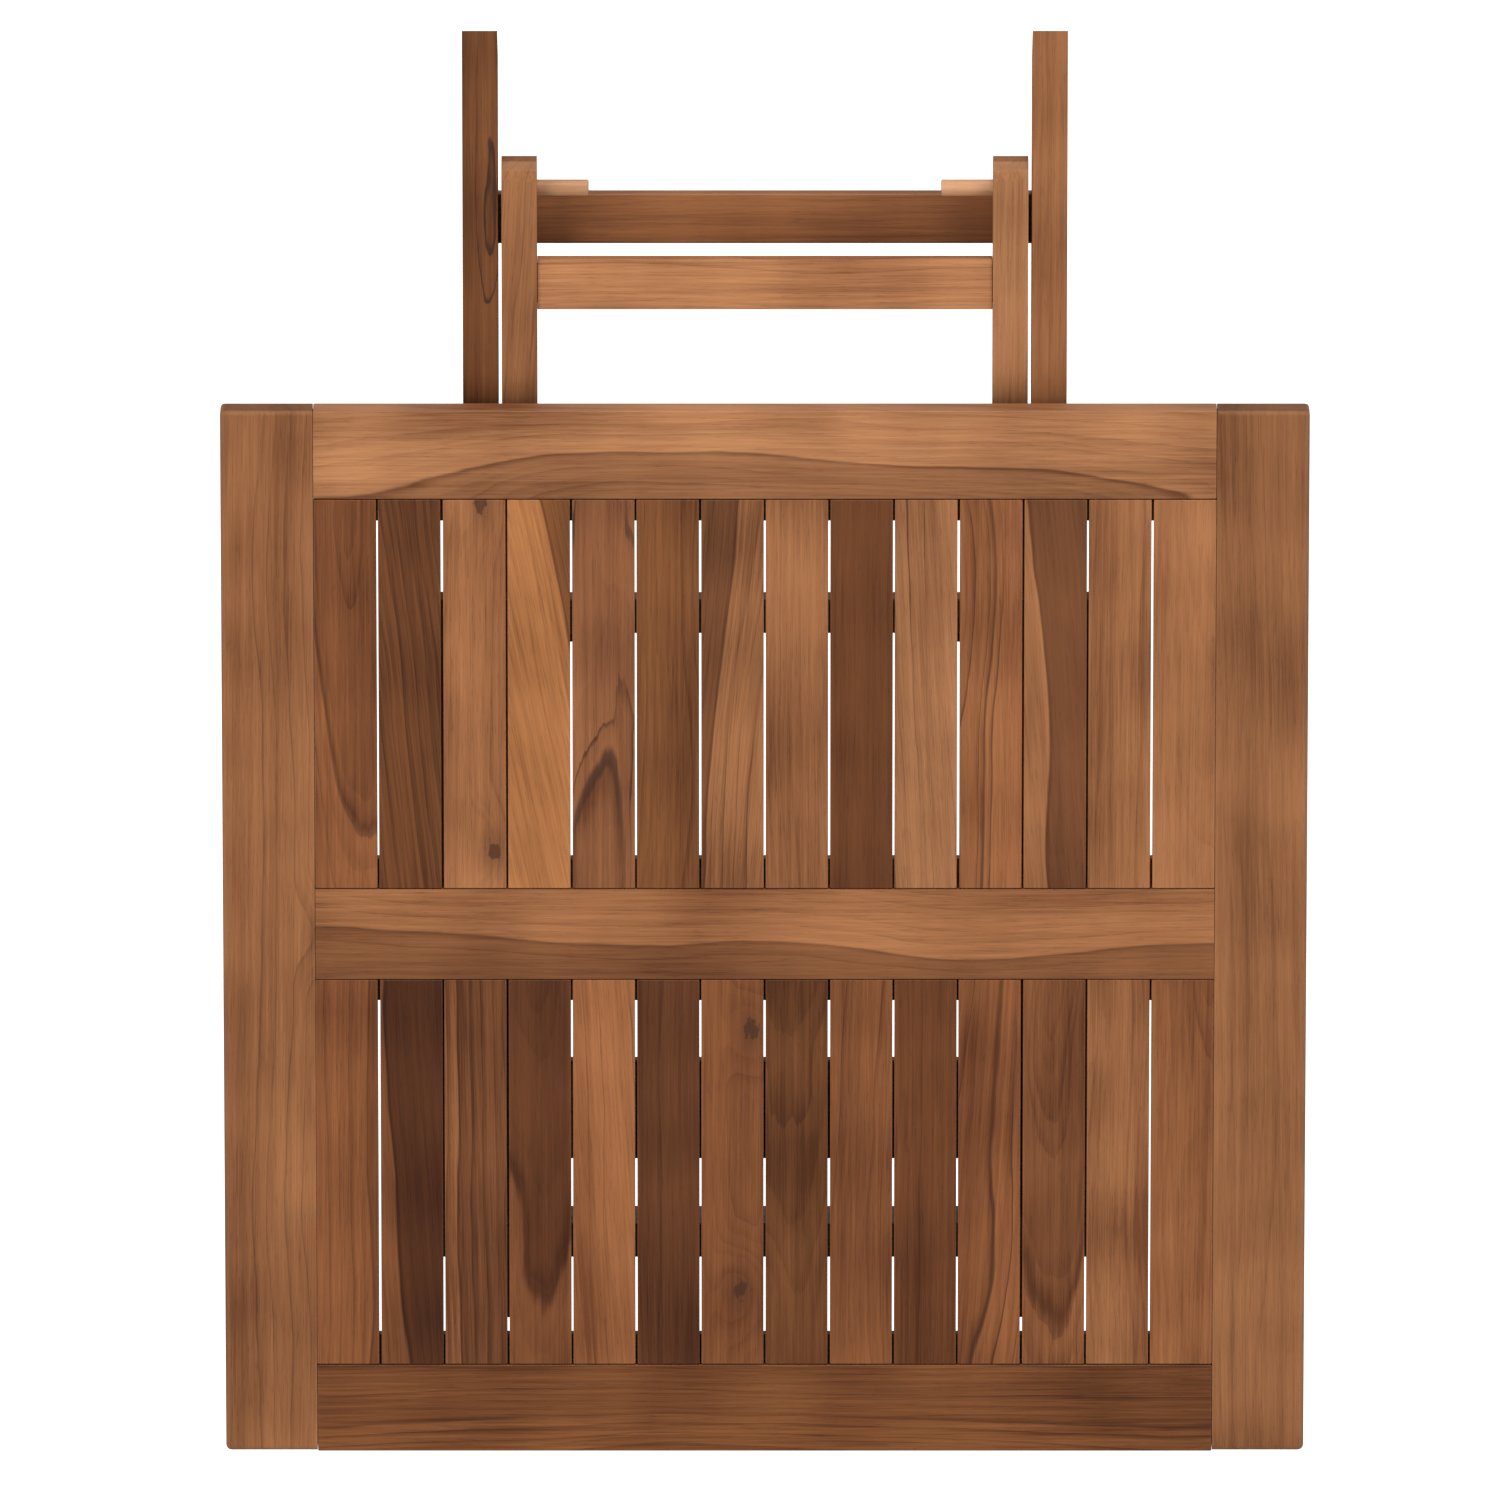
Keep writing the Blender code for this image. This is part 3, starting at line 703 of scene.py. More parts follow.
def even_shading(item: bpy.types.Object, sharp: float = 50.0) -> None:
    """Shades an object smooth, with its wide faces flat.

    Args:
        item: the object.
        sharp: edges sharper than this many degrees stay sharp.
    """
    item.data.shade_smooth()
    item.data.set_sharp_from_angle(angle=math.radians(sharp))
    normals = item.modifiers.new("shading", "WEIGHTED_NORMAL")
    normals.keep_sharp = True


def eased_copy(name: str, node: str, radius: float, segments: int = 3) -> bpy.types.Object:
    """A finer copy of a node, with every edge rounded over.

    Args:
        name: the new object's name.
        node: the node that is copied.
        radius: how far each edge is rounded, in metres.
        segments: how many faces each rounding has.

    Returns:
        The new object, as plain mesh.
    """
    shape = bmesh.new()
    shape.from_mesh(frame["nodes"][node].data)
    bmesh.ops.remove_doubles(shape, verts=shape.verts, dist=MERGE)
    bmesh.ops.dissolve_limit(shape, angle_limit=FLAT_WITHIN, verts=shape.verts, edges=shape.edges)
    item = from_shape(name, shape)
    item.data.shade_smooth()
    ease = item.modifiers.new("ease", "BEVEL")
    ease.width = radius
    ease.segments = segments
    ease.limit_method = "ANGLE"
    ease.angle_limit = EDGE_FROM
    ease.use_clamp_overlap = True
    settle(item)
    even_shading(item)
    return settle(item)


def block(name: str, middle: Vector, size: Vector) -> bpy.types.Object:
    """A plain block about a point.

    Args:
        name: the new object's name.
        middle: the point.
        size: how long it is along X, Y and Z.

    Returns:
        The new object.
    """
    shape = bmesh.new()
    bmesh.ops.create_cube(shape, size=1.0)
    bmesh.ops.scale(shape, vec=size, verts=shape.verts)
    bmesh.ops.translate(shape, vec=middle, verts=shape.verts)
    return from_shape(name, shape)


def round_node(node: str, towards: int) -> tuple[Vector, float, float]:
    """The axis of a round node that lies along X.

    Args:
        node: the node's name.
        towards: 1 to start at its low end, or -1 to start at its high end.

    Returns:
        Where its axis starts, its length and its radius.
    """
    low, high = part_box(node)
    start = Vector((low.x if towards > 0 else high.x, (low.y + high.y) / 2, (low.z + high.z) / 2))
    return start, high.x - low.x, (high.y - low.y) / 2


def turned(name: str, profile: Sequence[tuple[float, float]], start: Vector, towards: int,
           segments: int = 48) -> bpy.types.Object:
    """A turned piece on an axis along X.

    Args:
        name: the new object's name.
        profile: points as (distance from the start, radius), which begin and end on the axis
            unless the piece is a ring.
        start: where the axis begins.
        towards: 1 if the piece reaches out along +X, or -1.
        segments: how many faces it has around its axis.

    Returns:
        The new object.
    """
    shape = bmesh.new()
    points = [shape.verts.new(start + Vector((towards * away, 0.0, radius))) for away, radius in profile]
    edges = [shape.edges.new(pair) for pair in zip(points, points[1:])]
    bmesh.ops.spin(shape, geom=[*points, *edges], cent=start, axis=(1, 0, 0), angle=math.tau,
                   steps=segments, use_duplicate=False)
    bmesh.ops.remove_doubles(shape, verts=shape.verts, dist=MERGE)
    bmesh.ops.recalc_face_normals(shape, faces=shape.faces)
    return from_shape(name, shape)


def cut_out(item: bpy.types.Object, cutter: bpy.types.Object) -> bpy.types.Object:
    """Cuts one object out of another and removes the cutter.

    Args:
        item: the object that is cut.
        cutter: the shape of what goes.

    Returns:
        The object, as plain mesh.
    """
    step = item.modifiers.new("cut", "BOOLEAN")
    step.operation = "DIFFERENCE"
    step.object = cutter
    step.solver = "EXACT"
    settle(item)
    bpy.data.objects.remove(cutter)
    return item


def quarter_round(away: float, radius: float, corner: float, steps: int = 5) -> list[tuple[float, float]]:
    """A profile's outer corner, rounded over.

    Args:
        away: how far along the axis the end face is.
        radius: the radius of the piece.
        corner: the radius of the rounding.
        steps: how many faces it has.

    Returns:
        Points from the side of the piece to its end face.
    """
    turns = [math.pi / 2 * index / steps for index in range(steps + 1)]
    return [(away - corner * (1 - math.sin(turn)), radius - corner * (1 - math.cos(turn))) for turn in turns]


# --- Grain -------------------------------------------------------------------------------------
def coordinates(mesh: bpy.types.Mesh) -> np.ndarray:
    """A mesh's points, one to a row."""
    points = np.empty(len(mesh.vertices) * 3, np.float32)
    mesh.vertices.foreach_get("co", points)
    return points.reshape(-1, 3).astype(float)


def write_attribute(mesh: bpy.types.Mesh, name: str, kind: str, domain: str, values: np.ndarray) -> None:
    """Keeps values on a mesh.

    Args:
        mesh: the mesh.
        name: the attribute's name.
        kind: FLOAT, FLOAT_VECTOR or FLOAT_COLOR.
        domain: POINT or FACE.
        values: one row for each point or face.
    """
    attribute = mesh.attributes.new(name, kind, domain)
    field_name = {"FLOAT": "value", "FLOAT_VECTOR": "vector", "FLOAT_COLOR": "color"}[kind]
    attribute.data.foreach_set(field_name, np.ascontiguousarray(values, np.float32).ravel())


class GrainMap:
    """Works out where each point of a mesh lay in its log, and keeps that on the mesh."""

    log_stride = 1.37  # metres along the log from one board to the next, so that no two match
    no_knot = (9.0, 9.0, 9.0)

    def __init__(self, mesh: bpy.types.Mesh, grain: Grain) -> None:
        """Reads a mesh.

        Args:
            mesh: the mesh to mark.
            grain: the way that its grain runs.
        """
        self.mesh = mesh
        self.axes = np.array(grain.value, float)
        self.points = coordinates(mesh)
        count = len(self.points)
        self.values = {name: np.zeros((count, 3)) for name in ("log", "fibre", "figure")}
        self.values |= {knot: np.tile(self.no_knot, (count, 1)) for knot in KNOTS}
        self.tone = np.ones((count, 4))

    def in_log(self, offset: np.ndarray, pith: Pith, number: int) -> np.ndarray:
        """Turns places on a board into places in its log.

        Args:
            offset: rows of (along, across, out), from the board's middle.
            pith: where the middle of the log ran.
            number: the board's number.

        Returns:
            Rows of (right, up, along), from the middle of the log.
        """
        along, across, out = offset.T
        right = across - pith.across - pith.drift * along
        up = out + pith.depth - pith.climb * along
        return np.stack([right, up, along + self.log_stride * (number + 1)], 1)

    def lay(self, timber: Timber, number: int, members: np.ndarray | None = None) -> None:
        """Marks a board's points.

        Args:
            timber: the board.
            number: which board it is, which says where along the log it was cut.
            members: which points it has, or none for the whole mesh.
        """
        chosen = np.ones(len(self.points), bool) if members is None else members
        points = self.points[chosen]
        middle = (points.min(0) + points.max(0)) / 2
        half_depth = float((np.ptp(points, 0) @ np.abs(self.axes[2])) / 2)
        offset = (points - middle) @ self.axes.T
        self.values["log"][chosen] = self.in_log(offset, timber.pith, number)
        straight = replace(timber.pith, climb=0.0)
        self.values["fibre"][chosen] = self.in_log(offset, straight, number)
        self.values["figure"][chosen] = (timber.rings, timber.ink, timber.heart)
        self.tone[chosen] = timber.colour()
        for name, (along, across) in zip(KNOTS, timber.knots):
            spot = np.array([[along, across, half_depth]])
            self.values[name][chosen] = self.in_log(spot, timber.pith, number)[0]

    def keep(self) -> None:
        """Writes everything on the mesh, with end grain and the pale edges found from its faces. The pale
        edges are partly rubbed wear and partly a painted highlight.
        """
        for name, values in self.values.items():
            write_attribute(self.mesh, name, "FLOAT_VECTOR", "POINT", values)
        write_attribute(self.mesh, "tone", "FLOAT_COLOR", "POINT", self.tone)
        normals = np.array([face.normal for face in self.mesh.polygons], float)
        along = np.abs(normals @ self.axes[0])
        flatness = np.abs(normals).max(1)
        write_attribute(self.mesh, "end_grain", "FLOAT", "FACE", np.clip((along - 0.5) / 0.4, 0, 1))
        # Rounded faces are marked for paling, which is partly rubbed wear and partly a painted highlight.
        write_attribute(self.mesh, "worn", "FLOAT", "FACE", np.clip((0.995 - flatness) / 0.2, 0, 1))


@dataclass
class Dresser:
    """Gives finished pieces their material and body, and says so in the log."""

    teak: bpy.types.Material
    brass: bpy.types.Material
    boards: int = 0

    def fit(self, item: bpy.types.Object, body: str, replaced: Iterable[str] = ()) -> None:
        """Puts a finished piece on its body.

        Args:
            item: the piece.
            body: the body that it rides on.
            replaced: the nodes that it stands for.
        """
        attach(item, body)
        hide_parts(*replaced)
        log.info("%s: %d faces, on %s", item.name, len(item.data.polygons), body)

    def wooden(self, item: bpy.types.Object, member: Member, body: str, node: str) -> None:
        """Marks a piece's grain, oils it and puts it on its body.

        Args:
            item: the piece.
            member: its board, grain and slot.
            body: the body that it rides on.
            node: the node that it stands for.
        """
        marks = GrainMap(item.data, member.grain)
        marks.lay(member.timber, self.boards)
        marks.keep()
        self.boards += 1
        item.data.materials.clear()
        item.data.materials.append(self.teak)
        self.fit(item, body, [node])

    def metal(self, item: bpy.types.Object, body: str, replaced: Iterable[str] = ()) -> None:
        """Plates a piece in brass and puts it on its body."""
        item.data.materials.clear()
        item.data.materials.append(self.brass)
        self.fit(item, body, replaced)


# --- Geometry node trees -----------------------------------------------------------------------
class Pattern:
    """A Geometry Nodes tree with named inputs."""

    def __init__(self, name: str, inputs: dict[str, str]) -> None:
        """Starts a tree.

        Args:
            name: the tree's name.
            inputs: the type of each input's socket, by the input's name.
        """
        self.tree = bpy.data.node_groups.new(name, "GeometryNodeTree")
        self.web = Web(self.tree)
        face = self.tree.interface
        face.new_socket("Geometry", in_out="INPUT", socket_type="NodeSocketGeometry")
        for label, kind in inputs.items():
            face.new_socket(label, in_out="INPUT", socket_type=kind)
        face.new_socket("Geometry", in_out="OUTPUT", socket_type="NodeSocketGeometry")
        self.given = self.web.add("NodeGroupInput").outputs
        self.result = self.web.add("NodeGroupOutput").inputs[0]

    def use(self, kind: str, inputs: dict[str, object], **settings: object) -> bpy.types.Node:
        """Adds a node and feeds its sockets, by identifier.

        Args:
            kind: the node's class name.
            inputs: what each socket is fed, by its identifier.
            settings: properties to set on the node.

        Returns:
            The new node.
        """
        node = self.web.add(kind, **settings)
        sockets = {socket.identifier: socket for socket in node.inputs}
        for identifier, value in inputs.items():
            self.web.feed(sockets[identifier], value)
        return node

    def close(self, geometry: bpy.types.NodeSocket) -> None:
        """Makes the instances real, gives them their material and ends the tree."""
        real = self.use("GeometryNodeRealizeInstances", {"Geometry": geometry}).outputs[0]
        faced = self.use("GeometryNodeSetMaterial", {"Geometry": real, "Material": self.given["Finish"]})
        self.web.feed(self.result, faced.outputs[0])

    def run(self, item: bpy.types.Object, values: dict[str, object]) -> bpy.types.Object:
        """Runs the tree on an object and leaves plain mesh.

        Args:
            item: the object that carries the modifier.
            values: what each input is set to, by name.

        Returns:
            The same object.
        """
        modifier = item.modifiers.new(self.tree.name, "NODES")
        modifier.node_group = self.tree
        for entry in self.tree.interface.items_tree:
            if entry.in_out == "INPUT" and entry.name in values:
                modifier[entry.identifier] = values[entry.name]
        return settle(item)


def slat_pattern() -> Pattern:
    """A row of slats along X, each with rounded edges and ends, and each a hair out of place.

    Returns:
        The tree.
    """
    made = Pattern("slat_row", {
        "Count": "NodeSocketInt", "Pitch": "NodeSocketFloat", "Slat Width": "NodeSocketFloat",
        "Slat Length": "NodeSocketFloat", "Slat Thickness": "NodeSocketFloat",
        "Edge Radius": "NodeSocketFloat", "Side Play": "NodeSocketFloat", "Seed": "NodeSocketInt",
        "Finish": "NodeSocketMaterial"})
    web, given = made.web, made.given
    edge = given["Edge Radius"]
    outline = made.use("GeometryNodeCurvePrimitiveQuadrilateral",
                       {"Width": given["Slat Width"], "Height": given["Slat Thickness"]}).outputs[0]
    outline = made.use("GeometryNodeFilletCurve", {"Curve": outline, "Count": 4, "Radius": edge},
                       mode="POLY").outputs[0]

    stations, end_stations = 8, 3  # outlines along a slat, and how many of them round each end
    last = stations - 1
    half = web.maths("MULTIPLY", given["Slat Length"], 0.5)
    line = made.use("GeometryNodeCurvePrimitiveLine", {"Start": (0, -1, 0), "End": (0, 1, 0)}).outputs[0]
    line = made.use("GeometryNodeResampleCurve", {"Curve": line, "Count": stations}).outputs[0]
    index = web.add("GeometryNodeInputIndex").outputs[0]
    from_end = web.maths("MINIMUM", index, web.maths("SUBTRACT", last, index))
    share = web.step(from_end, 0, end_stations)
    inset = web.maths("MULTIPLY", edge, share)
    side = web.maths("SIGN", web.maths("SUBTRACT", index, last / 2))
    place = web.add("ShaderNodeCombineXYZ")
    web.feed(place.inputs["Y"], web.maths("MULTIPLY", side, web.maths("SUBTRACT", half, inset)))
    line = made.use("GeometryNodeSetPosition", {"Geometry": line, "Position": place.outputs[0]}).outputs[0]
    bar = made.use("GeometryNodeCurveToMesh",
                   {"Curve": line, "Profile Curve": outline, "Fill Caps": True}).outputs[0]

    position = web.add("GeometryNodeInputPosition").outputs[0]
    along = web.maths("ABSOLUTE", web.split(position)[1])
    past = web.maths("SUBTRACT", along, web.maths("SUBTRACT", half, edge))
    reach = web.maths("DIVIDE", past, edge, clamp=True)
    level = web.maths("SQRT", web.maths("SUBTRACT", 1.0, web.maths("MULTIPLY", reach, reach)))
    drop = web.maths("SUBTRACT", 1.0, level)
    pull = web.maths("MULTIPLY", web.maths("MULTIPLY", drop, edge), -0.8)
    corner = web.add("ShaderNodeVectorMath", operation="SIGN")
    web.feed(corner.inputs[0], web.vector("MULTIPLY", position, (1, 0, 1)))
    shift = web.add("ShaderNodeVectorMath", operation="SCALE")
    web.feed(shift.inputs[0], corner.outputs[0])
    web.feed(shift.inputs["Scale"], pull)
    bar = made.use("GeometryNodeSetPosition", {"Geometry": bar, "Offset": shift.outputs[0]}).outputs[0]
    bar = made.use("GeometryNodeSetShadeSmooth", {"Geometry": bar}).outputs[0]

    step = web.add("ShaderNodeCombineXYZ")
    web.feed(step.inputs["X"], given["Pitch"])
    first = web.add("ShaderNodeCombineXYZ")
    gaps = web.maths("SUBTRACT", given["Count"], 1)
    web.feed(first.inputs["X"], web.maths("MULTIPLY", web.maths("MULTIPLY", gaps, given["Pitch"]), -0.5))
    row = made.use("GeometryNodeMeshLine", {"Count": given["Count"], "Offset": step.outputs[0],
                                            "Start Location": first.outputs[0]}).outputs[0]
    play = web.add("ShaderNodeCombineXYZ")
    web.feed(play.inputs["X"], given["Side Play"])
    unplay = web.vector("MULTIPLY", play.outputs[0], (-1, -1, -1))
    limits = {"Min": unplay, "Max": play.outputs[0], "Seed": given["Seed"]}
    chance = made.use("FunctionNodeRandomValue", limits, data_type="FLOAT_VECTOR").outputs[0]
    row = made.use("GeometryNodeSetPosition", {"Geometry": row, "Offset": chance}).outputs[0]
    slats = made.use("GeometryNodeInstanceOnPoints", {"Points": row, "Instance": bar}).outputs[0]
    number = web.add("GeometryNodeInputIndex").outputs[0]
    slats = made.use("GeometryNodeStoreNamedAttribute",
                     {"Geometry": slats, "Name": "slat_number", "Value": number},
                     data_type="INT", domain="INSTANCE").outputs[0]
    made.close(slats)
    return made


def screw_pattern() -> Pattern:
    """A screw at every point of a mesh, each turned at random about Z.

    Returns:
        The tree.
    """
    made = Pattern("screws", {"Screw": "NodeSocketObject", "Seed": "NodeSocketInt",
                              "Finish": "NodeSocketMaterial"})
    screw = made.use("GeometryNodeObjectInfo", {"Object": made.given["Screw"], "As Instance": False})
    turn = made.use("FunctionNodeRandomValue", {"Min": (0, 0, 0), "Max": (0, 0, math.tau),
                                                "Seed": made.given["Seed"]}, data_type="FLOAT_VECTOR")
    placed = made.use("GeometryNodeInstanceOnPoints",
                      {"Points": made.given["Geometry"], "Instance": screw.outputs["Geometry"],
                       "Rotation": turn.outputs[0]}).outputs[0]
    made.close(placed)
    return made


# --- Sub-assemblies ----------------------------------------------------------------------------
@dataclass
class Joinery:
    """Wooden members that ride on one body.

    Attributes:
        body: the body.
        members: each node's member.
        edge: how far their edges are rounded, in metres.
    """

    body: str
    members: dict[str, Member]
    edge: float = 0.45 * MM

    def shape(self, node: str) -> bpy.types.Object:
        """Makes one member, as a finer copy of its node."""
        return eased_copy(f"{node}_wood", node, self.edge)

    def build(self) -> dict[str, bpy.types.Object]:
        """Makes every member, by its node."""
        return {node: self.shape(node) for node in self.members}

    def dress(self, made: dict[str, bpy.types.Object], dresser: Dresser) -> None:
        """Oils the members and puts them on their body."""
        for node, item in made.items():
            dresser.wooden(item, self.members[node], self.body, node)


@dataclass
class TopFrame(Joinery):
    """Two stiles with three rails between them.

    The stiles' outer edges are rounded over. Their inner edges stay crisp, so that the rails meet
    them in a thin line.

    Attributes:
        stile_rounding: how far a stile's outer edges are rounded, in metres.
        underside_share: how much of that its lower edges have.
        inner_share: how much of that its inner edges have.
        stile_segments: how many faces each rounding has.
        tenon_gap: the space round a tenon in its mortise.
    """

    body: str = "table_top"
    members: dict[str, Member] = field(default_factory=lambda: {
        "stile_left": Member(Timber(Tone.HONEY, Pith(0.085, 0.030, 0.010), 0.25, 0.35, knots=((0.0, 0.038),),
                                    shade=0.87), Grain.ALONG_Y, "teak_top"),
        "stile_right": Member(Timber(Tone.HONEY, Pith(-0.090, 0.020, -0.012), 0.25, 0.10, shade=0.80),
                              Grain.ALONG_Y, "teak_top"),
        "front_rail": Member(Timber(Tone.STRAW, Pith(-0.048, -0.014, 0.0, 0.15), 0.35, 0.22, 0.055,
                                    depth=0.45, shade=0.95), Grain.ALONG_X, "teak_top"),
        "middle_rail": Member(Timber(Tone.HONEY, Pith(0.075, 0.004, 0.0, 0.10), 0.30, 0.25, -0.090,
                                     depth=0.62, shade=0.98), Grain.ALONG_X, "teak_top"),
        "back_rail": Member(Timber(Tone.CHESTNUT, Pith(-0.125, 0.010, 0.004), 0.70, 0.45, -0.106, depth=0.30,
                                   shade=1.13), Grain.ALONG_X, "teak_top"),
    })
    edge: float = 0.75 * MM
    stile_rounding: float = 4.2 * MM
    underside_share: float = 0.25
    inner_share: float = 0.09
    stile_segments: int = 5
    tenon_gap: float = 0.3 * MM

    def mortise(self, stile: bpy.types.Object, rail: str, inner_face: float, outward: int) -> None:
        """Cuts the mortise for a rail's tenon.

        Args:
            stile: the stile that is cut.
            rail: the rail's node.
            inner_face: how far the stile's inner face is from the middle of the table.
            outward: 1 for the right stile, or -1.
        """
        tenon = [corner.co for corner in frame["nodes"][rail].data.vertices
                 if outward * corner.co.x > inner_face + MM]
        _, back, down = (min(values) for values in zip(*tenon))
        _, front, up = (max(values) for values in zip(*tenon))
        deep = max(abs(corner.x) for corner in tenon)
        ends = sorted((outward * (inner_face - MM), outward * (deep + self.tenon_gap)))
        low = Vector((ends[0], back - self.tenon_gap, down - self.tenon_gap))
        high = Vector((ends[1], front + self.tenon_gap, up + self.tenon_gap))
        cut_out(stile, block("mortise", (low + high) / 2, high - low))

    def rounding_share(self, edge_middle: Vector, outward: int) -> float:
        """How much of the full rounding one of a stile's edges has.

        Args:
            edge_middle: the edge's middle, from the middle of the stile.
            outward: 1 for the right stile, or -1.

        Returns:
            The share, from 0 to 1.
        """
        if outward * edge_middle.x < -MM:
            return self.inner_share
        return self.underside_share if edge_middle.z < -MM else 1.0

    def stile(self, node: str) -> bpy.types.Object:
        """Makes a stile, with its outer edges rounded over and its mortises cut.

        Args:
            node: the stile's node.

        Returns:
            The stile, as plain mesh.
        """
        low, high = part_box(node)
        middle = (low + high) / 2
        outward = 1 if middle.x > 0 else -1
        item = block(f"{node}_wood", middle, high - low)
        shares = item.data.attributes.new("bevel_weight_edge", "FLOAT", "EDGE")
        for edge in item.data.edges:
            start, end = (item.data.vertices[index].co for index in edge.vertices)
            shares.data[edge.index].value = self.rounding_share((start + end) / 2 - middle, outward)
        ease = item.modifiers.new("ease", "BEVEL")
        ease.width = self.stile_rounding
        ease.segments = self.stile_segments
        ease.limit_method = "WEIGHT"
        settle(item)
        for rail in (name for name in self.members if name.endswith("rail")):
            self.mortise(item, rail, min(abs(low.x), abs(high.x)), outward)
        even_shading(item)
        return settle(item)

    def shape(self, node: str) -> bpy.types.Object:
        """Makes one member of the frame."""
        return self.stile(node) if node.startswith("stile") else super().shape(node)


FRONT_SLATS = (
    Timber(Tone.RUSSET, Pith(0.004, 0.022, 0.0, 0.085), 0.45, 0.45, 0.0345, depth=0.30, shade=1.08),
    Timber(Tone.UMBER, Pith(0.060, 0.030, -0.100), 1.00, 0.20, shade=0.87),
    Timber(Tone.HONEY, Pith(0.110, 0.012, 0.004), 0.30, 0.0, knots=((0.146, 0.006), (-0.120, 0.014)),
           shade=1.08),
    Timber(Tone.AMBER, Pith(0.092, 0.012, -0.20), 0.35, 0.15, 0.064, depth=0.75, shade=0.94),
    Timber(Tone.NUTMEG, Sawing.ARCH_UP.value, 0.30, 1.0, 0.032, depth=0.12, shade=1.05),
    Timber(Tone.CHESTNUT, Sawing.QUARTER.value, 0.60, 0.15, shade=0.97),
    Timber(Tone.HONEY, Pith(-0.070, 0.012, 0.085), 0.55, 0.60, 0.066, depth=0.75, shade=0.86),
    Timber(Tone.HONEY, Sawing.QUARTER_LEFT.value, 0.30, 0.0, shade=0.92),
    Timber(Tone.WALNUT, Sawing.QUARTER.value, 0.30, 0.0, shade=0.82),
    Timber(Tone.STRAW, Sawing.RIFT_RIGHT.value, 0.15, 0.90, shade=0.93),
    Timber(Tone.TAN, Sawing.QUARTER_LEFT.value, 0.40, 0.70, 0.094, depth=0.15, shade=1.10),
    Timber(Tone.HONEY, Pith(0.075, 0.010, -0.075), 0.20, 0.10, 0.086, depth=0.85, shade=0.92),
    Timber(Tone.HONEY, Sawing.QUARTER.value, 0.40, 0.10, shade=0.96),
    Timber(Tone.HONEY, Sawing.HALF_ARCH.value, 0.20, 0.10, shade=0.93),
)
BACK_SLATS = (
    Timber(Tone.RUSSET, Pith(0.080, 0.012, 0.010), 0.40, 0.20, 0.064, depth=0.45, shade=1.07),
    Timber(Tone.RUSSET, Pith(0.060, 0.012, -0.055), 0.30, 0.30, 0.079, depth=0.95, shade=0.90),
    Timber(Tone.TAN, Pith(0.080, 0.012, -0.015), 0.80, 0.30, 0.090, depth=0.62, shade=0.92),
    Timber(Tone.RUSSET, Pith(0.002, 0.022, 0.0, 0.110), 0.25, 0.15, 0.0365, depth=0.75, shade=0.96),
    Timber(Tone.TAN, Sawing.RIFT_RIGHT.value, 0.25, 0.35, shade=1.18),
    Timber(Tone.COCOA, Sawing.QUARTER_LEFT.value, 0.50, 0.20),
    Timber(Tone.RUSSET, Sawing.HALF_ARCH.value, 0.30, 0.10, knots=((0.110, 0.014), (-0.090, 0.006))),
    Timber(Tone.CHESTNUT, Sawing.ARCH_DOWN.value, 0.45, 0.15, shade=0.85),
    Timber(Tone.RUSSET, Sawing.QUARTER.value, 0.45, 0.65, shade=0.96),
    Timber(Tone.WALNUT, Sawing.QUARTER_LEFT.value, 0.45, 0.10, shade=0.92),
    Timber(Tone.RUSSET, Sawing.RIFT_LEFT.value, 0.40, 0.80, 0.070, depth=0.20, shade=1.14),
    Timber(Tone.TAN, Pith(0.0, 0.016, 0.0, 0.125), 0.45, 0.15, 0.0345, depth=0.45, shade=0.99),
    Timber(Tone.HONEY, Sawing.QUARTER.value, 0.35, 0.10),
    Timber(Tone.TAN, Sawing.HALF_ARCH.value, 0.35, 0.10),
)


@dataclass
class SlatPanel:
    """One panel of slats, between two rails.

    Attributes:
        name: front or back, as the panel's nodes are named.
        timbers: its boards, from left to right.
        seed: what the slats' play is drawn from.
    """

    name: str
    timbers: Sequence[Timber]
    seed: int
    edge: float = 0.9 * MM
    side_play: float = 0.22 * MM

    def nodes(self) -> list[str]:
        """The panel's nodes, from left to right."""
        return [f"slat_{self.name}_{number + 1:02d}" for number in range(len(self.timbers))]

    def build(self, pattern: Pattern, finish: bpy.types.Material) -> bpy.types.Object:
        """Makes the whole row.

        Args:
            pattern: the slats' tree.
            finish: the slats' material.

        Returns:
            The row, as plain mesh.
        """
        low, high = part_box(self.nodes()[0])
        last_low, last_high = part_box(self.nodes()[-1])
        size = high - low
        pitch = (last_low.x - low.x) / (len(self.timbers) - 1)
        row = show(bpy.data.objects.new(f"slats_{self.name}", bpy.data.meshes.new(f"slats_{self.name}")))
        pattern.run(row, {"Count": len(self.timbers), "Pitch": pitch, "Slat Width": size.x,
                          "Slat Length": size.y, "Slat Thickness": size.z, "Edge Radius": self.edge,
                          "Side Play": self.side_play, "Seed": self.seed, "Finish": finish})
        row.data.transform(Matrix.Translation((low + last_high) / 2))
        even_shading(row)
        return settle(row)

    def dress(self, row: bpy.types.Object, dresser: Dresser) -> None:
        """Marks each slat's grain and puts the row on the table top.

        Args:
            row: the row of slats.
            dresser: who gives it its material and body.
        """
        numbers = np.empty(len(row.data.vertices), np.int32)
        row.data.attributes["slat_number"].data.foreach_get("value", numbers)
        marks = GrainMap(row.data, Grain.ALONG_Y)
        for number, timber in enumerate(self.timbers):
            marks.lay(timber, dresser.boards, numbers == number)
            dresser.boards += 1
        marks.keep()
        dresser.fit(row, "table_top", self.nodes())


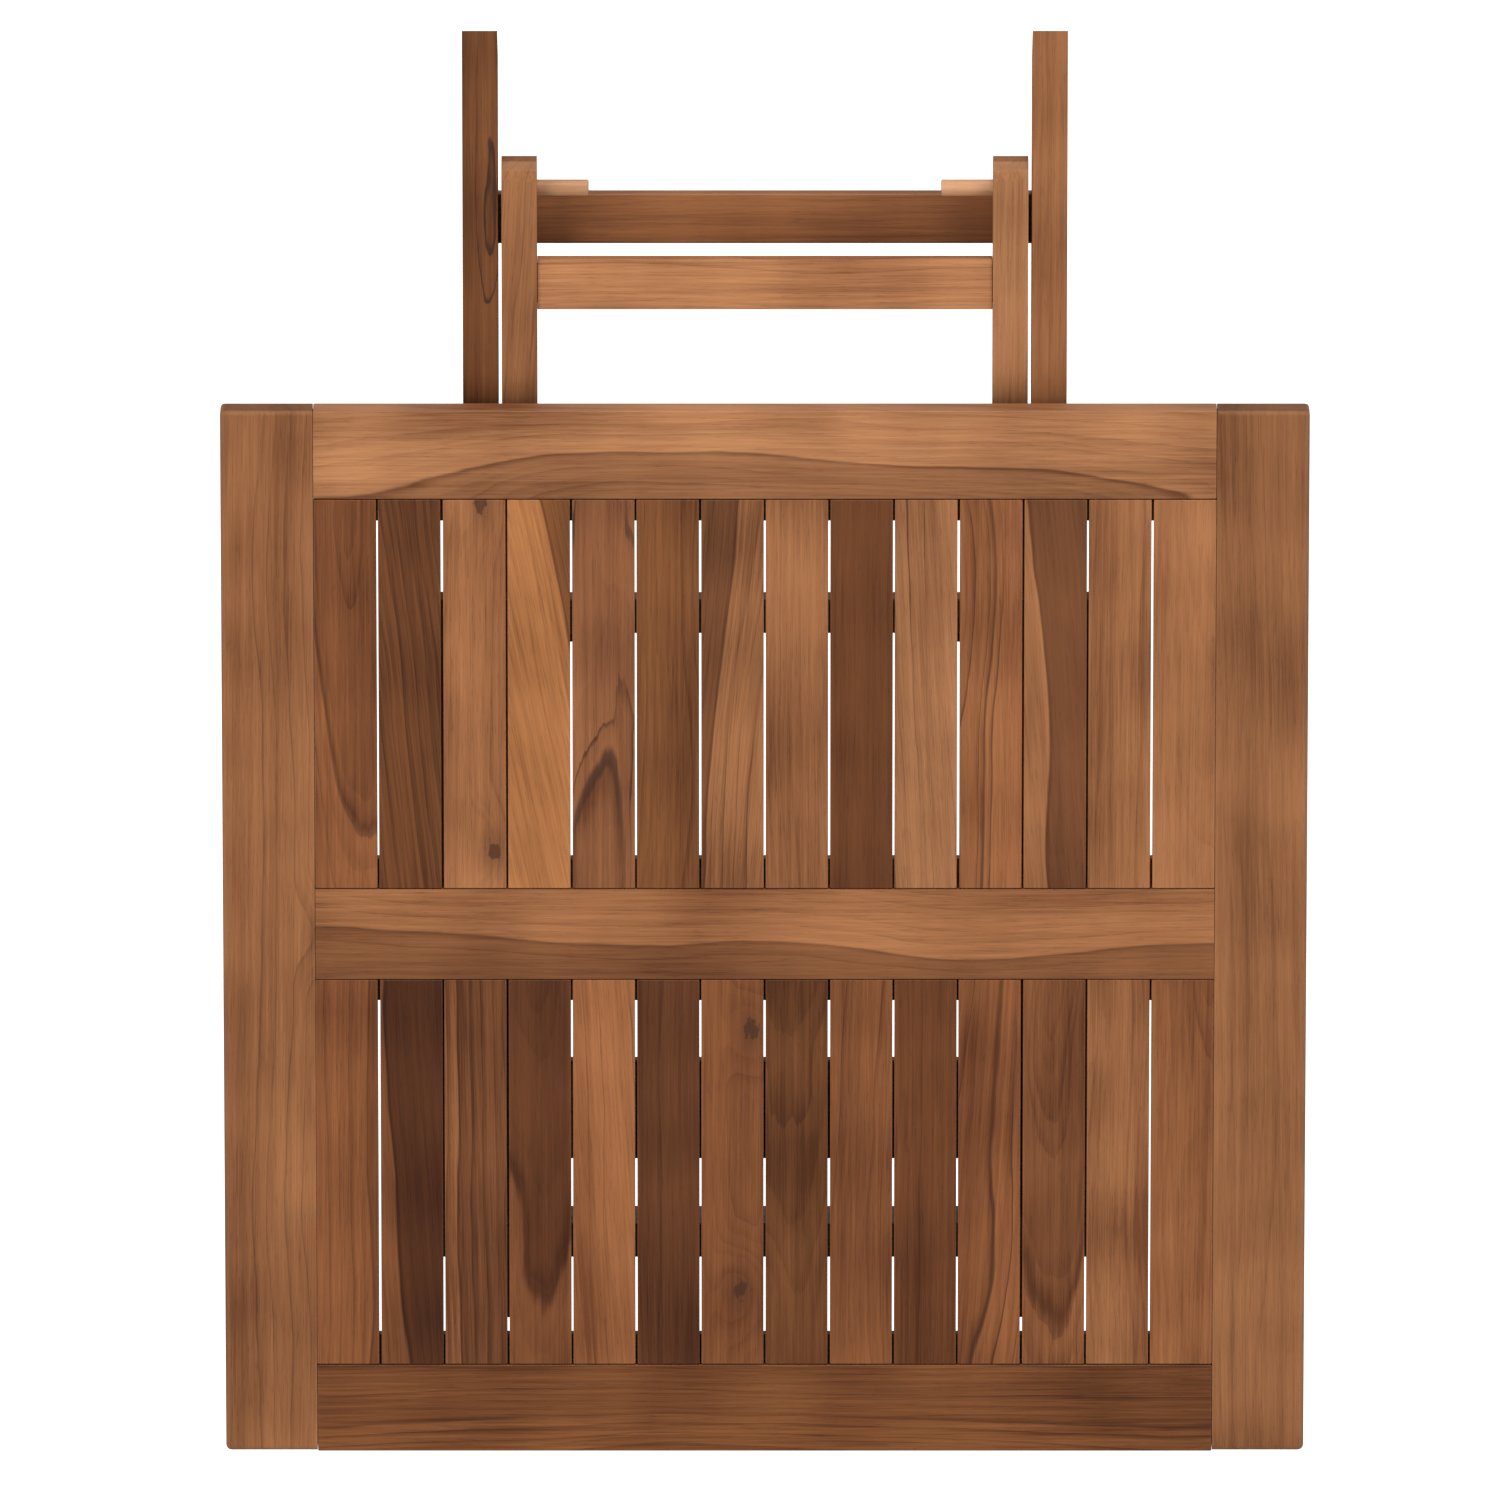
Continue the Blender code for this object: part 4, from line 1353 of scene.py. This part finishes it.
@dataclass
class SubFrame(Joinery):
    """Runners, cross bars and keepers under the slats."""

    body: str = "table_top"
    members: dict[str, Member] = field(default_factory=lambda: {
        "runner_left": Member(Timber(Tone.NUTMEG, Sawing.QUARTER.value), Grain.ALONG_Y),
        "runner_right": Member(Timber(Tone.TAN, Sawing.QUARTER_LEFT.value), Grain.ALONG_Y),
        "cross_bar_front": Member(Timber(Tone.HONEY, Sawing.QUARTER.value, 0.3), Grain.ALONG_X),
        "cross_bar_back": Member(Timber(Tone.TAN, Sawing.ARCH_UP.value, 0.4), Grain.ALONG_X),
        "peg_keeper_left": Member(Timber(Tone.RUSSET, Sawing.QUARTER.value), Grain.ALONG_Z, "teak_keeper"),
        "peg_keeper_right": Member(Timber(Tone.NUTMEG, Sawing.QUARTER.value), Grain.ALONG_Z, "teak_keeper"),
    })


@dataclass
class OuterLegs(Joinery):
    """The legs that the hinges hold, and their stretchers."""

    body: str = "outer_leg_frame"
    members: dict[str, Member] = field(default_factory=lambda: {
        "outer_leg_left": Member(Timber(Tone.CHESTNUT, Pith(0.004, 0.006, 0.0, 0.030), 0.40, 1.0, 0.032,
                                        depth=0.15, shade=0.90), Grain.ALONG_Y),
        "outer_leg_right": Member(Timber(Tone.HONEY, Sawing.QUARTER.value, 0.25, 0.10, shade=0.92),
                                  Grain.ALONG_Y),
        "outer_foot_stretcher": Member(Timber(Tone.TAN, Sawing.QUARTER.value, 0.30, 0.10, shade=0.83),
                                       Grain.ALONG_X),
        "outer_hinge_stretcher": Member(Timber(Tone.NUTMEG, Sawing.QUARTER_LEFT.value, 0.30), Grain.ALONG_X),
    })


@dataclass
class InnerLegs(Joinery):
    """The legs that the pivots hold, and their stretchers."""

    body: str = "inner_leg_frame"
    members: dict[str, Member] = field(default_factory=lambda: {
        "inner_leg_left": Member(Timber(Tone.HONEY, Sawing.RIFT_LEFT.value, 0.40, 0.30, shade=0.78),
                                 Grain.ALONG_Y),
        "inner_leg_right": Member(Timber(Tone.STRAW, Sawing.QUARTER.value, 0.30, 0.10, shade=0.86),
                                  Grain.ALONG_Y),
        "inner_peg_stretcher": Member(Timber(Tone.STRAW, Sawing.QUARTER.value, 0.35, 0.30, shade=1.10),
                                      Grain.ALONG_X),
        "inner_foot_stretcher": Member(Timber(Tone.TAN, Sawing.QUARTER.value, 0.30), Grain.ALONG_X),
    })


@dataclass
class Pegs(Joinery):
    """The two pale pegs at the ends of the inner legs, with their ends rounded over."""

    body: str = "inner_leg_frame"
    members: dict[str, Member] = field(default_factory=lambda: {
        f"peg_{side}": Member(Timber(Tone.PALE, Sawing.QUARTER.value, 0.20), Grain.ALONG_X, "teak_peg")
        for side in SIDES})
    edge: float = 1.1 * MM

    def shape(self, node: str) -> bpy.types.Object:
        """Turns one peg, which reaches in from its leg.

        Args:
            node: the peg's node.

        Returns:
            The peg, as plain mesh.
        """
        towards = 1 if node.endswith("left") else -1
        start, length, radius = round_node(node, towards)
        tip = quarter_round(length, radius, self.edge)
        root = [(length - away, width) for away, width in reversed(tip)]
        item = turned(f"{node}_wood", [(0.0, 0.0), *root, *tip, (length, 0.0)], start, towards)
        even_shading(item)
        return settle(item)


@dataclass
class Bolts:
    """The hinge and pivot bolts, with their round nuts and the pivot washers."""

    shank: float = 4.0 * MM
    head_height: float = 2.5 * MM
    head_edge: float = 0.9 * MM
    dome_steps: int = 7
    dome_turn: float = 0.86  # how much of a quarter circle the dome is, so that a flat is left on top
    socket: float = 2.6 * MM  # the radius of the hexagonal key's socket
    socket_depth: float = 1.7 * MM
    slot_width: float = 1.6 * MM
    slot_depth: float = 1.2 * MM
    bodies: dict[str, str] = field(default_factory=lambda: {"hinge": "table_top", "pivot": "outer_leg_frame"})

    def bolt(self, node: str, outward: int) -> bpy.types.Object:
        """A domed bolt with a hexagonal socket.

        Args:
            node: the node that it stands for.
            outward: 1 if the head faces +X, or -1.

        Returns:
            The new object.
        """
        start, length, radius = round_node(node, outward)
        neck = length - self.head_height
        turns = [math.pi / 2 * step / self.dome_steps for step in range(self.dome_steps + 1)]
        rise = [(neck + self.head_edge + (self.head_height - self.head_edge) * math.sin(turn),
                 radius * math.cos(turn * self.dome_turn)) for turn in turns]
        profile = [(0.0, 0.0), (0.0, self.shank - 0.4 * MM), (0.4 * MM, self.shank), (neck, self.shank),
                   (neck, radius - 0.2 * MM), (neck + 0.2 * MM, radius), *rise, (length, 0.0)]
        item = turned(f"{node}_brass", profile, start, outward)
        shape = bmesh.new()
        bmesh.ops.create_cone(shape, cap_ends=True, segments=6, radius1=self.socket, radius2=self.socket,
                              depth=2 * self.socket_depth,
                              matrix=Matrix.Translation(start + Vector((outward * length, 0, 0)))
                              @ Matrix.Rotation(math.pi / 2, 4, "Y"))
        return cut_out(item, from_shape("key_socket", shape))

    def nut(self, node: str, outward: int) -> bpy.types.Object:
        """A round nut with a slot across its face.

        Args:
            node: the node that it stands for.
            outward: 1 if the bolt's head faces +X, or -1.

        Returns:
            The new object.
        """
        start, length, radius = round_node(node, -outward)
        face = quarter_round(length, radius, 0.5 * MM, 3)
        profile = [(0.0, 0.0), (0.0, radius - 0.3 * MM), (0.3 * MM, radius), *face, (length, 0.0)]
        item = turned(f"{node}_brass", profile, start, -outward)
        slot = Vector((2 * self.slot_depth, 3 * radius, self.slot_width))
        return cut_out(item, block("driver_slot", start - Vector((outward * length, 0, 0)), slot))

    def washer(self, node: str) -> bpy.types.Object:
        """A flat ring with eased rims.

        Args:
            node: the node that it stands for.

        Returns:
            The new object.
        """
        start, width, radius = round_node(node, 1)
        hole = self.shank + 0.4 * MM
        ease = 0.25 * MM
        rim = [(ease, radius), (width - ease, radius), (width, radius - ease), (width, hole + ease),
               (width - ease, hole), (ease, hole), (0.0, hole + ease), (0.0, radius - ease), (ease, radius)]
        return turned(f"{node}_brass", rim, start, 1)

    def build(self) -> dict[str, tuple[bpy.types.Object, str]]:
        """Makes every bolt, nut and washer, with the body of each.

        Returns:
            Each piece with its body, by its node.
        """
        made = {}
        for ending, outward in zip(SIDES, (-1, 1)):
            for joint, body in self.bodies.items():
                bolt, nut = f"{joint}_bolt_{ending}", f"{joint}_nut_{ending}"
                made[bolt] = (self.bolt(bolt, outward), body)
                made[nut] = (self.nut(nut, outward), body)
            washer = f"pivot_washer_{ending}"
            made[washer] = (self.washer(washer), self.bodies["pivot"])
        return made

    def dress(self, made: dict[str, tuple[bpy.types.Object, str]], dresser: Dresser) -> None:
        """Plates every piece and puts it on its body.

        Args:
            made: each piece with its body, by its node.
            dresser: who gives it its material and body.
        """
        for node, (item, body) in made.items():
            even_shading(item, 35.0)
            settle(item)
            dresser.metal(item, body, [node])


@dataclass
class Screws:
    """Countersunk screws that hold the slats down on the ledges and the front cross bar."""

    head: float = 3.4 * MM
    sink: float = 2.2 * MM
    shank: float = 1.7 * MM
    length: float = 9.0 * MM
    proud: float = 0.25 * MM
    inset: float = 10.0 * MM  # from the end of a slat, or of the cross bar
    recess_width: float = 0.9 * MM
    recess_span: float = 4.2 * MM
    recess_depth: float = 1.3 * MM
    seed: int = 11

    def template(self) -> bpy.types.Object:
        """One screw, head down at the origin, with a cross recess.

        Returns:
            The screw, which is removed once it has been copied.
        """
        profile = [(0.0, 0.0), (0.0, self.head - 0.3 * MM), (0.2 * MM, self.head), (0.5 * MM, self.head),
                   (self.sink, self.shank), (self.length, self.shank * 0.6), (self.length + 1 * MM, 0.0)]
        item = turned("screw_template", profile, Vector((0, 0, 0)), 1, segments=20)
        item.data.transform(Matrix.Rotation(-math.pi / 2, 4, "Y"))
        for size in ((self.recess_width, self.recess_span), (self.recess_span, self.recess_width)):
            cut_out(item, block("driver_recess", Vector(), Vector((*size, 2 * self.recess_depth))))
        item.data.shade_smooth()
        item.data.set_sharp_from_angle(angle=math.radians(35))
        return item

    def places(self) -> list[Vector]:
        """Where each screw's head is: under every slat, at each ledge and at the front cross bar.

        Returns:
            The places.
        """
        found = []
        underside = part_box("front_rail")[0].z
        bar_low, bar_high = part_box("cross_bar_front")
        for panel, timbers in (("front", FRONT_SLATS), ("back", BACK_SLATS)):
            for number in range(len(timbers)):
                low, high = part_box(f"slat_{panel}_{number + 1:02d}")
                middle = (low.x + high.x) / 2
                for end in (low.y + self.inset, high.y - self.inset):
                    found.append(Vector((middle, end, underside)))
                if panel == "front" and bar_low.x + self.inset < middle < bar_high.x - self.inset:
                    found.append(Vector((middle, (bar_low.y + bar_high.y) / 2, bar_low.z)))
        return [place - Vector((0, 0, self.proud)) for place in found]

    def build(self, pattern: Pattern, finish: bpy.types.Material) -> bpy.types.Object:
        """Sets every screw.

        Args:
            pattern: the screws' tree.
            finish: the screws' material.

        Returns:
            All the screws, as one plain mesh.
        """
        mesh = bpy.data.meshes.new("slat_screws")
        mesh.from_pydata(self.places(), [], [])
        item = show(bpy.data.objects.new("slat_screws", mesh))
        template = self.template()
        pattern.run(item, {"Screw": template, "Seed": self.seed, "Finish": finish})
        bpy.data.objects.remove(template)
        return item

    def dress(self, item: bpy.types.Object, dresser: Dresser) -> None:
        """Puts the screws on the table top."""
        dresser.fit(item, "table_top")


# --- Studio ------------------------------------------------------------------------------------
@dataclass
class Lamp:
    """A square soft light: where it hangs, how wide it is, and its power in watts."""

    name: str
    place: tuple[float, float, float]
    width: float
    power: float
    colour: Colour = (1.0, 1.0, 1.0)

    def hang(self, aim: Vector) -> None:
        """Makes the light, turned to face a point.

        Args:
            aim: the point.
        """
        light = bpy.data.lights.new(self.name, "AREA")
        light.shape = "SQUARE"
        light.size = self.width
        light.energy = self.power
        light.color = self.colour
        item = show(bpy.data.objects.new(self.name, light))
        item.location = self.place
        item.rotation_euler = (aim - Vector(self.place)).to_track_quat("-Z", "Y").to_euler()


@dataclass
class Studio:
    """White paper, soft lamps and the camera, which looks down from a little in front of the top."""

    tilt: float = math.radians(15.9)
    distance: float = 17.8
    lens: float = 580.0
    sensor: float = 36.0
    aim_left: float = 0.0113
    aim_forward: float = 0.003
    ground_width: float = 40.0
    paper_gap: float = 0.2 * MM
    sky: float = 0.55
    lamps: tuple[Lamp, ...] = (
        Lamp("key_lamp", (-2.9, 0.2, 2.7), 2.0, 92.0, (1.0, 0.985, 0.96)),
        Lamp("fill_lamp", (2.9, -0.2, 2.7), 2.0, 70.0, (0.97, 0.985, 1.0)),
        Lamp("front_lamp", (0.2, 3.5, 0.9), 1.4, 78.0),
    )

    def aim(self) -> Vector:
        """The point that the camera looks at, on the face of the top."""
        return Vector((-self.aim_left, self.aim_forward, CAD_BOX[1][2]))

    def camera(self) -> None:
        """Makes the camera."""
        back = Vector((0.0, math.sin(self.tilt), math.cos(self.tilt)))
        up = Vector((0.0, math.cos(self.tilt), -math.sin(self.tilt)))
        data = bpy.data.cameras.new("camera")
        data.lens = self.lens
        data.sensor_width = self.sensor
        data.clip_end = 4 * self.distance
        item = show(bpy.data.objects.new("camera", data))
        turn = Matrix((up.cross(back), up, back)).transposed()
        item.matrix_world = Matrix.Translation(self.aim() + self.distance * back) @ turn.to_4x4()
        bpy.context.scene.camera = item

    def paper_height(self) -> float:
        """How high the paper lies: just under the feet of the table when it stands open.

        Returns:
            The height, in metres.
        """
        fold = next(joint for joint in frame["joints"] if joint["name"] == "leg_fold")
        swing = Matrix.Rotation(math.radians(fold["range_deg"][1]), 4, Vector(fold["axis"]))
        hinge = Vector(fold["pos_m"])
        leg = frame["nodes"]["outer_leg_left"].data.vertices
        return min((swing @ (corner.co - hinge) + hinge).z for corner in leg) - self.paper_gap

    def ground(self, paper: bpy.types.Material) -> None:
        """Lays the paper, with its face up.

        Args:
            paper: its material.
        """
        shape = bmesh.new()
        bmesh.ops.create_grid(shape, x_segments=8, y_segments=8, size=self.ground_width / 2)
        bmesh.ops.translate(shape, vec=(0, 0, self.paper_height()), verts=shape.verts)
        floor = from_shape("studio_ground", shape)
        floor.data.materials.append(paper)

    def light(self) -> None:
        """Makes the sky and hangs the lamps."""
        world = bpy.data.worlds.new("studio_sky")
        world.use_nodes = True
        sky = world.node_tree.nodes["Background"]
        sky.inputs["Color"].default_value = (1.0, 1.0, 1.0, 1.0)
        sky.inputs["Strength"].default_value = self.sky
        bpy.context.scene.world = world
        for lamp in self.lamps:
            lamp.hang(self.aim())

    def build(self, paper: bpy.types.Material) -> None:
        """Sets up the whole studio.

        Args:
            paper: the ground's material.
        """
        bpy.context.scene.view_settings.view_transform = "Standard"
        self.camera()
        self.ground(paper)
        self.light()


def main() -> None:
    """Builds the studio and the table."""
    logging.basicConfig(level=logging.INFO, format="%(name)s: %(message)s")
    Studio().build(StudioPaper().material())
    dresser = Dresser(OiledTeak().material(), TurnedBrass().material())
    slats = slat_pattern()
    for panel in (SlatPanel("front", FRONT_SLATS, 3), SlatPanel("back", BACK_SLATS, 8)):
        panel.dress(panel.build(slats, dresser.teak), dresser)
    for assembly in (TopFrame(), SubFrame(), OuterLegs(), InnerLegs(), Pegs(), Bolts()):
        assembly.dress(assembly.build(), dresser)
    screws = Screws()
    screws.dress(screws.build(screw_pattern(), dresser.brass), dresser)


if __name__ == "__main__":
    main()
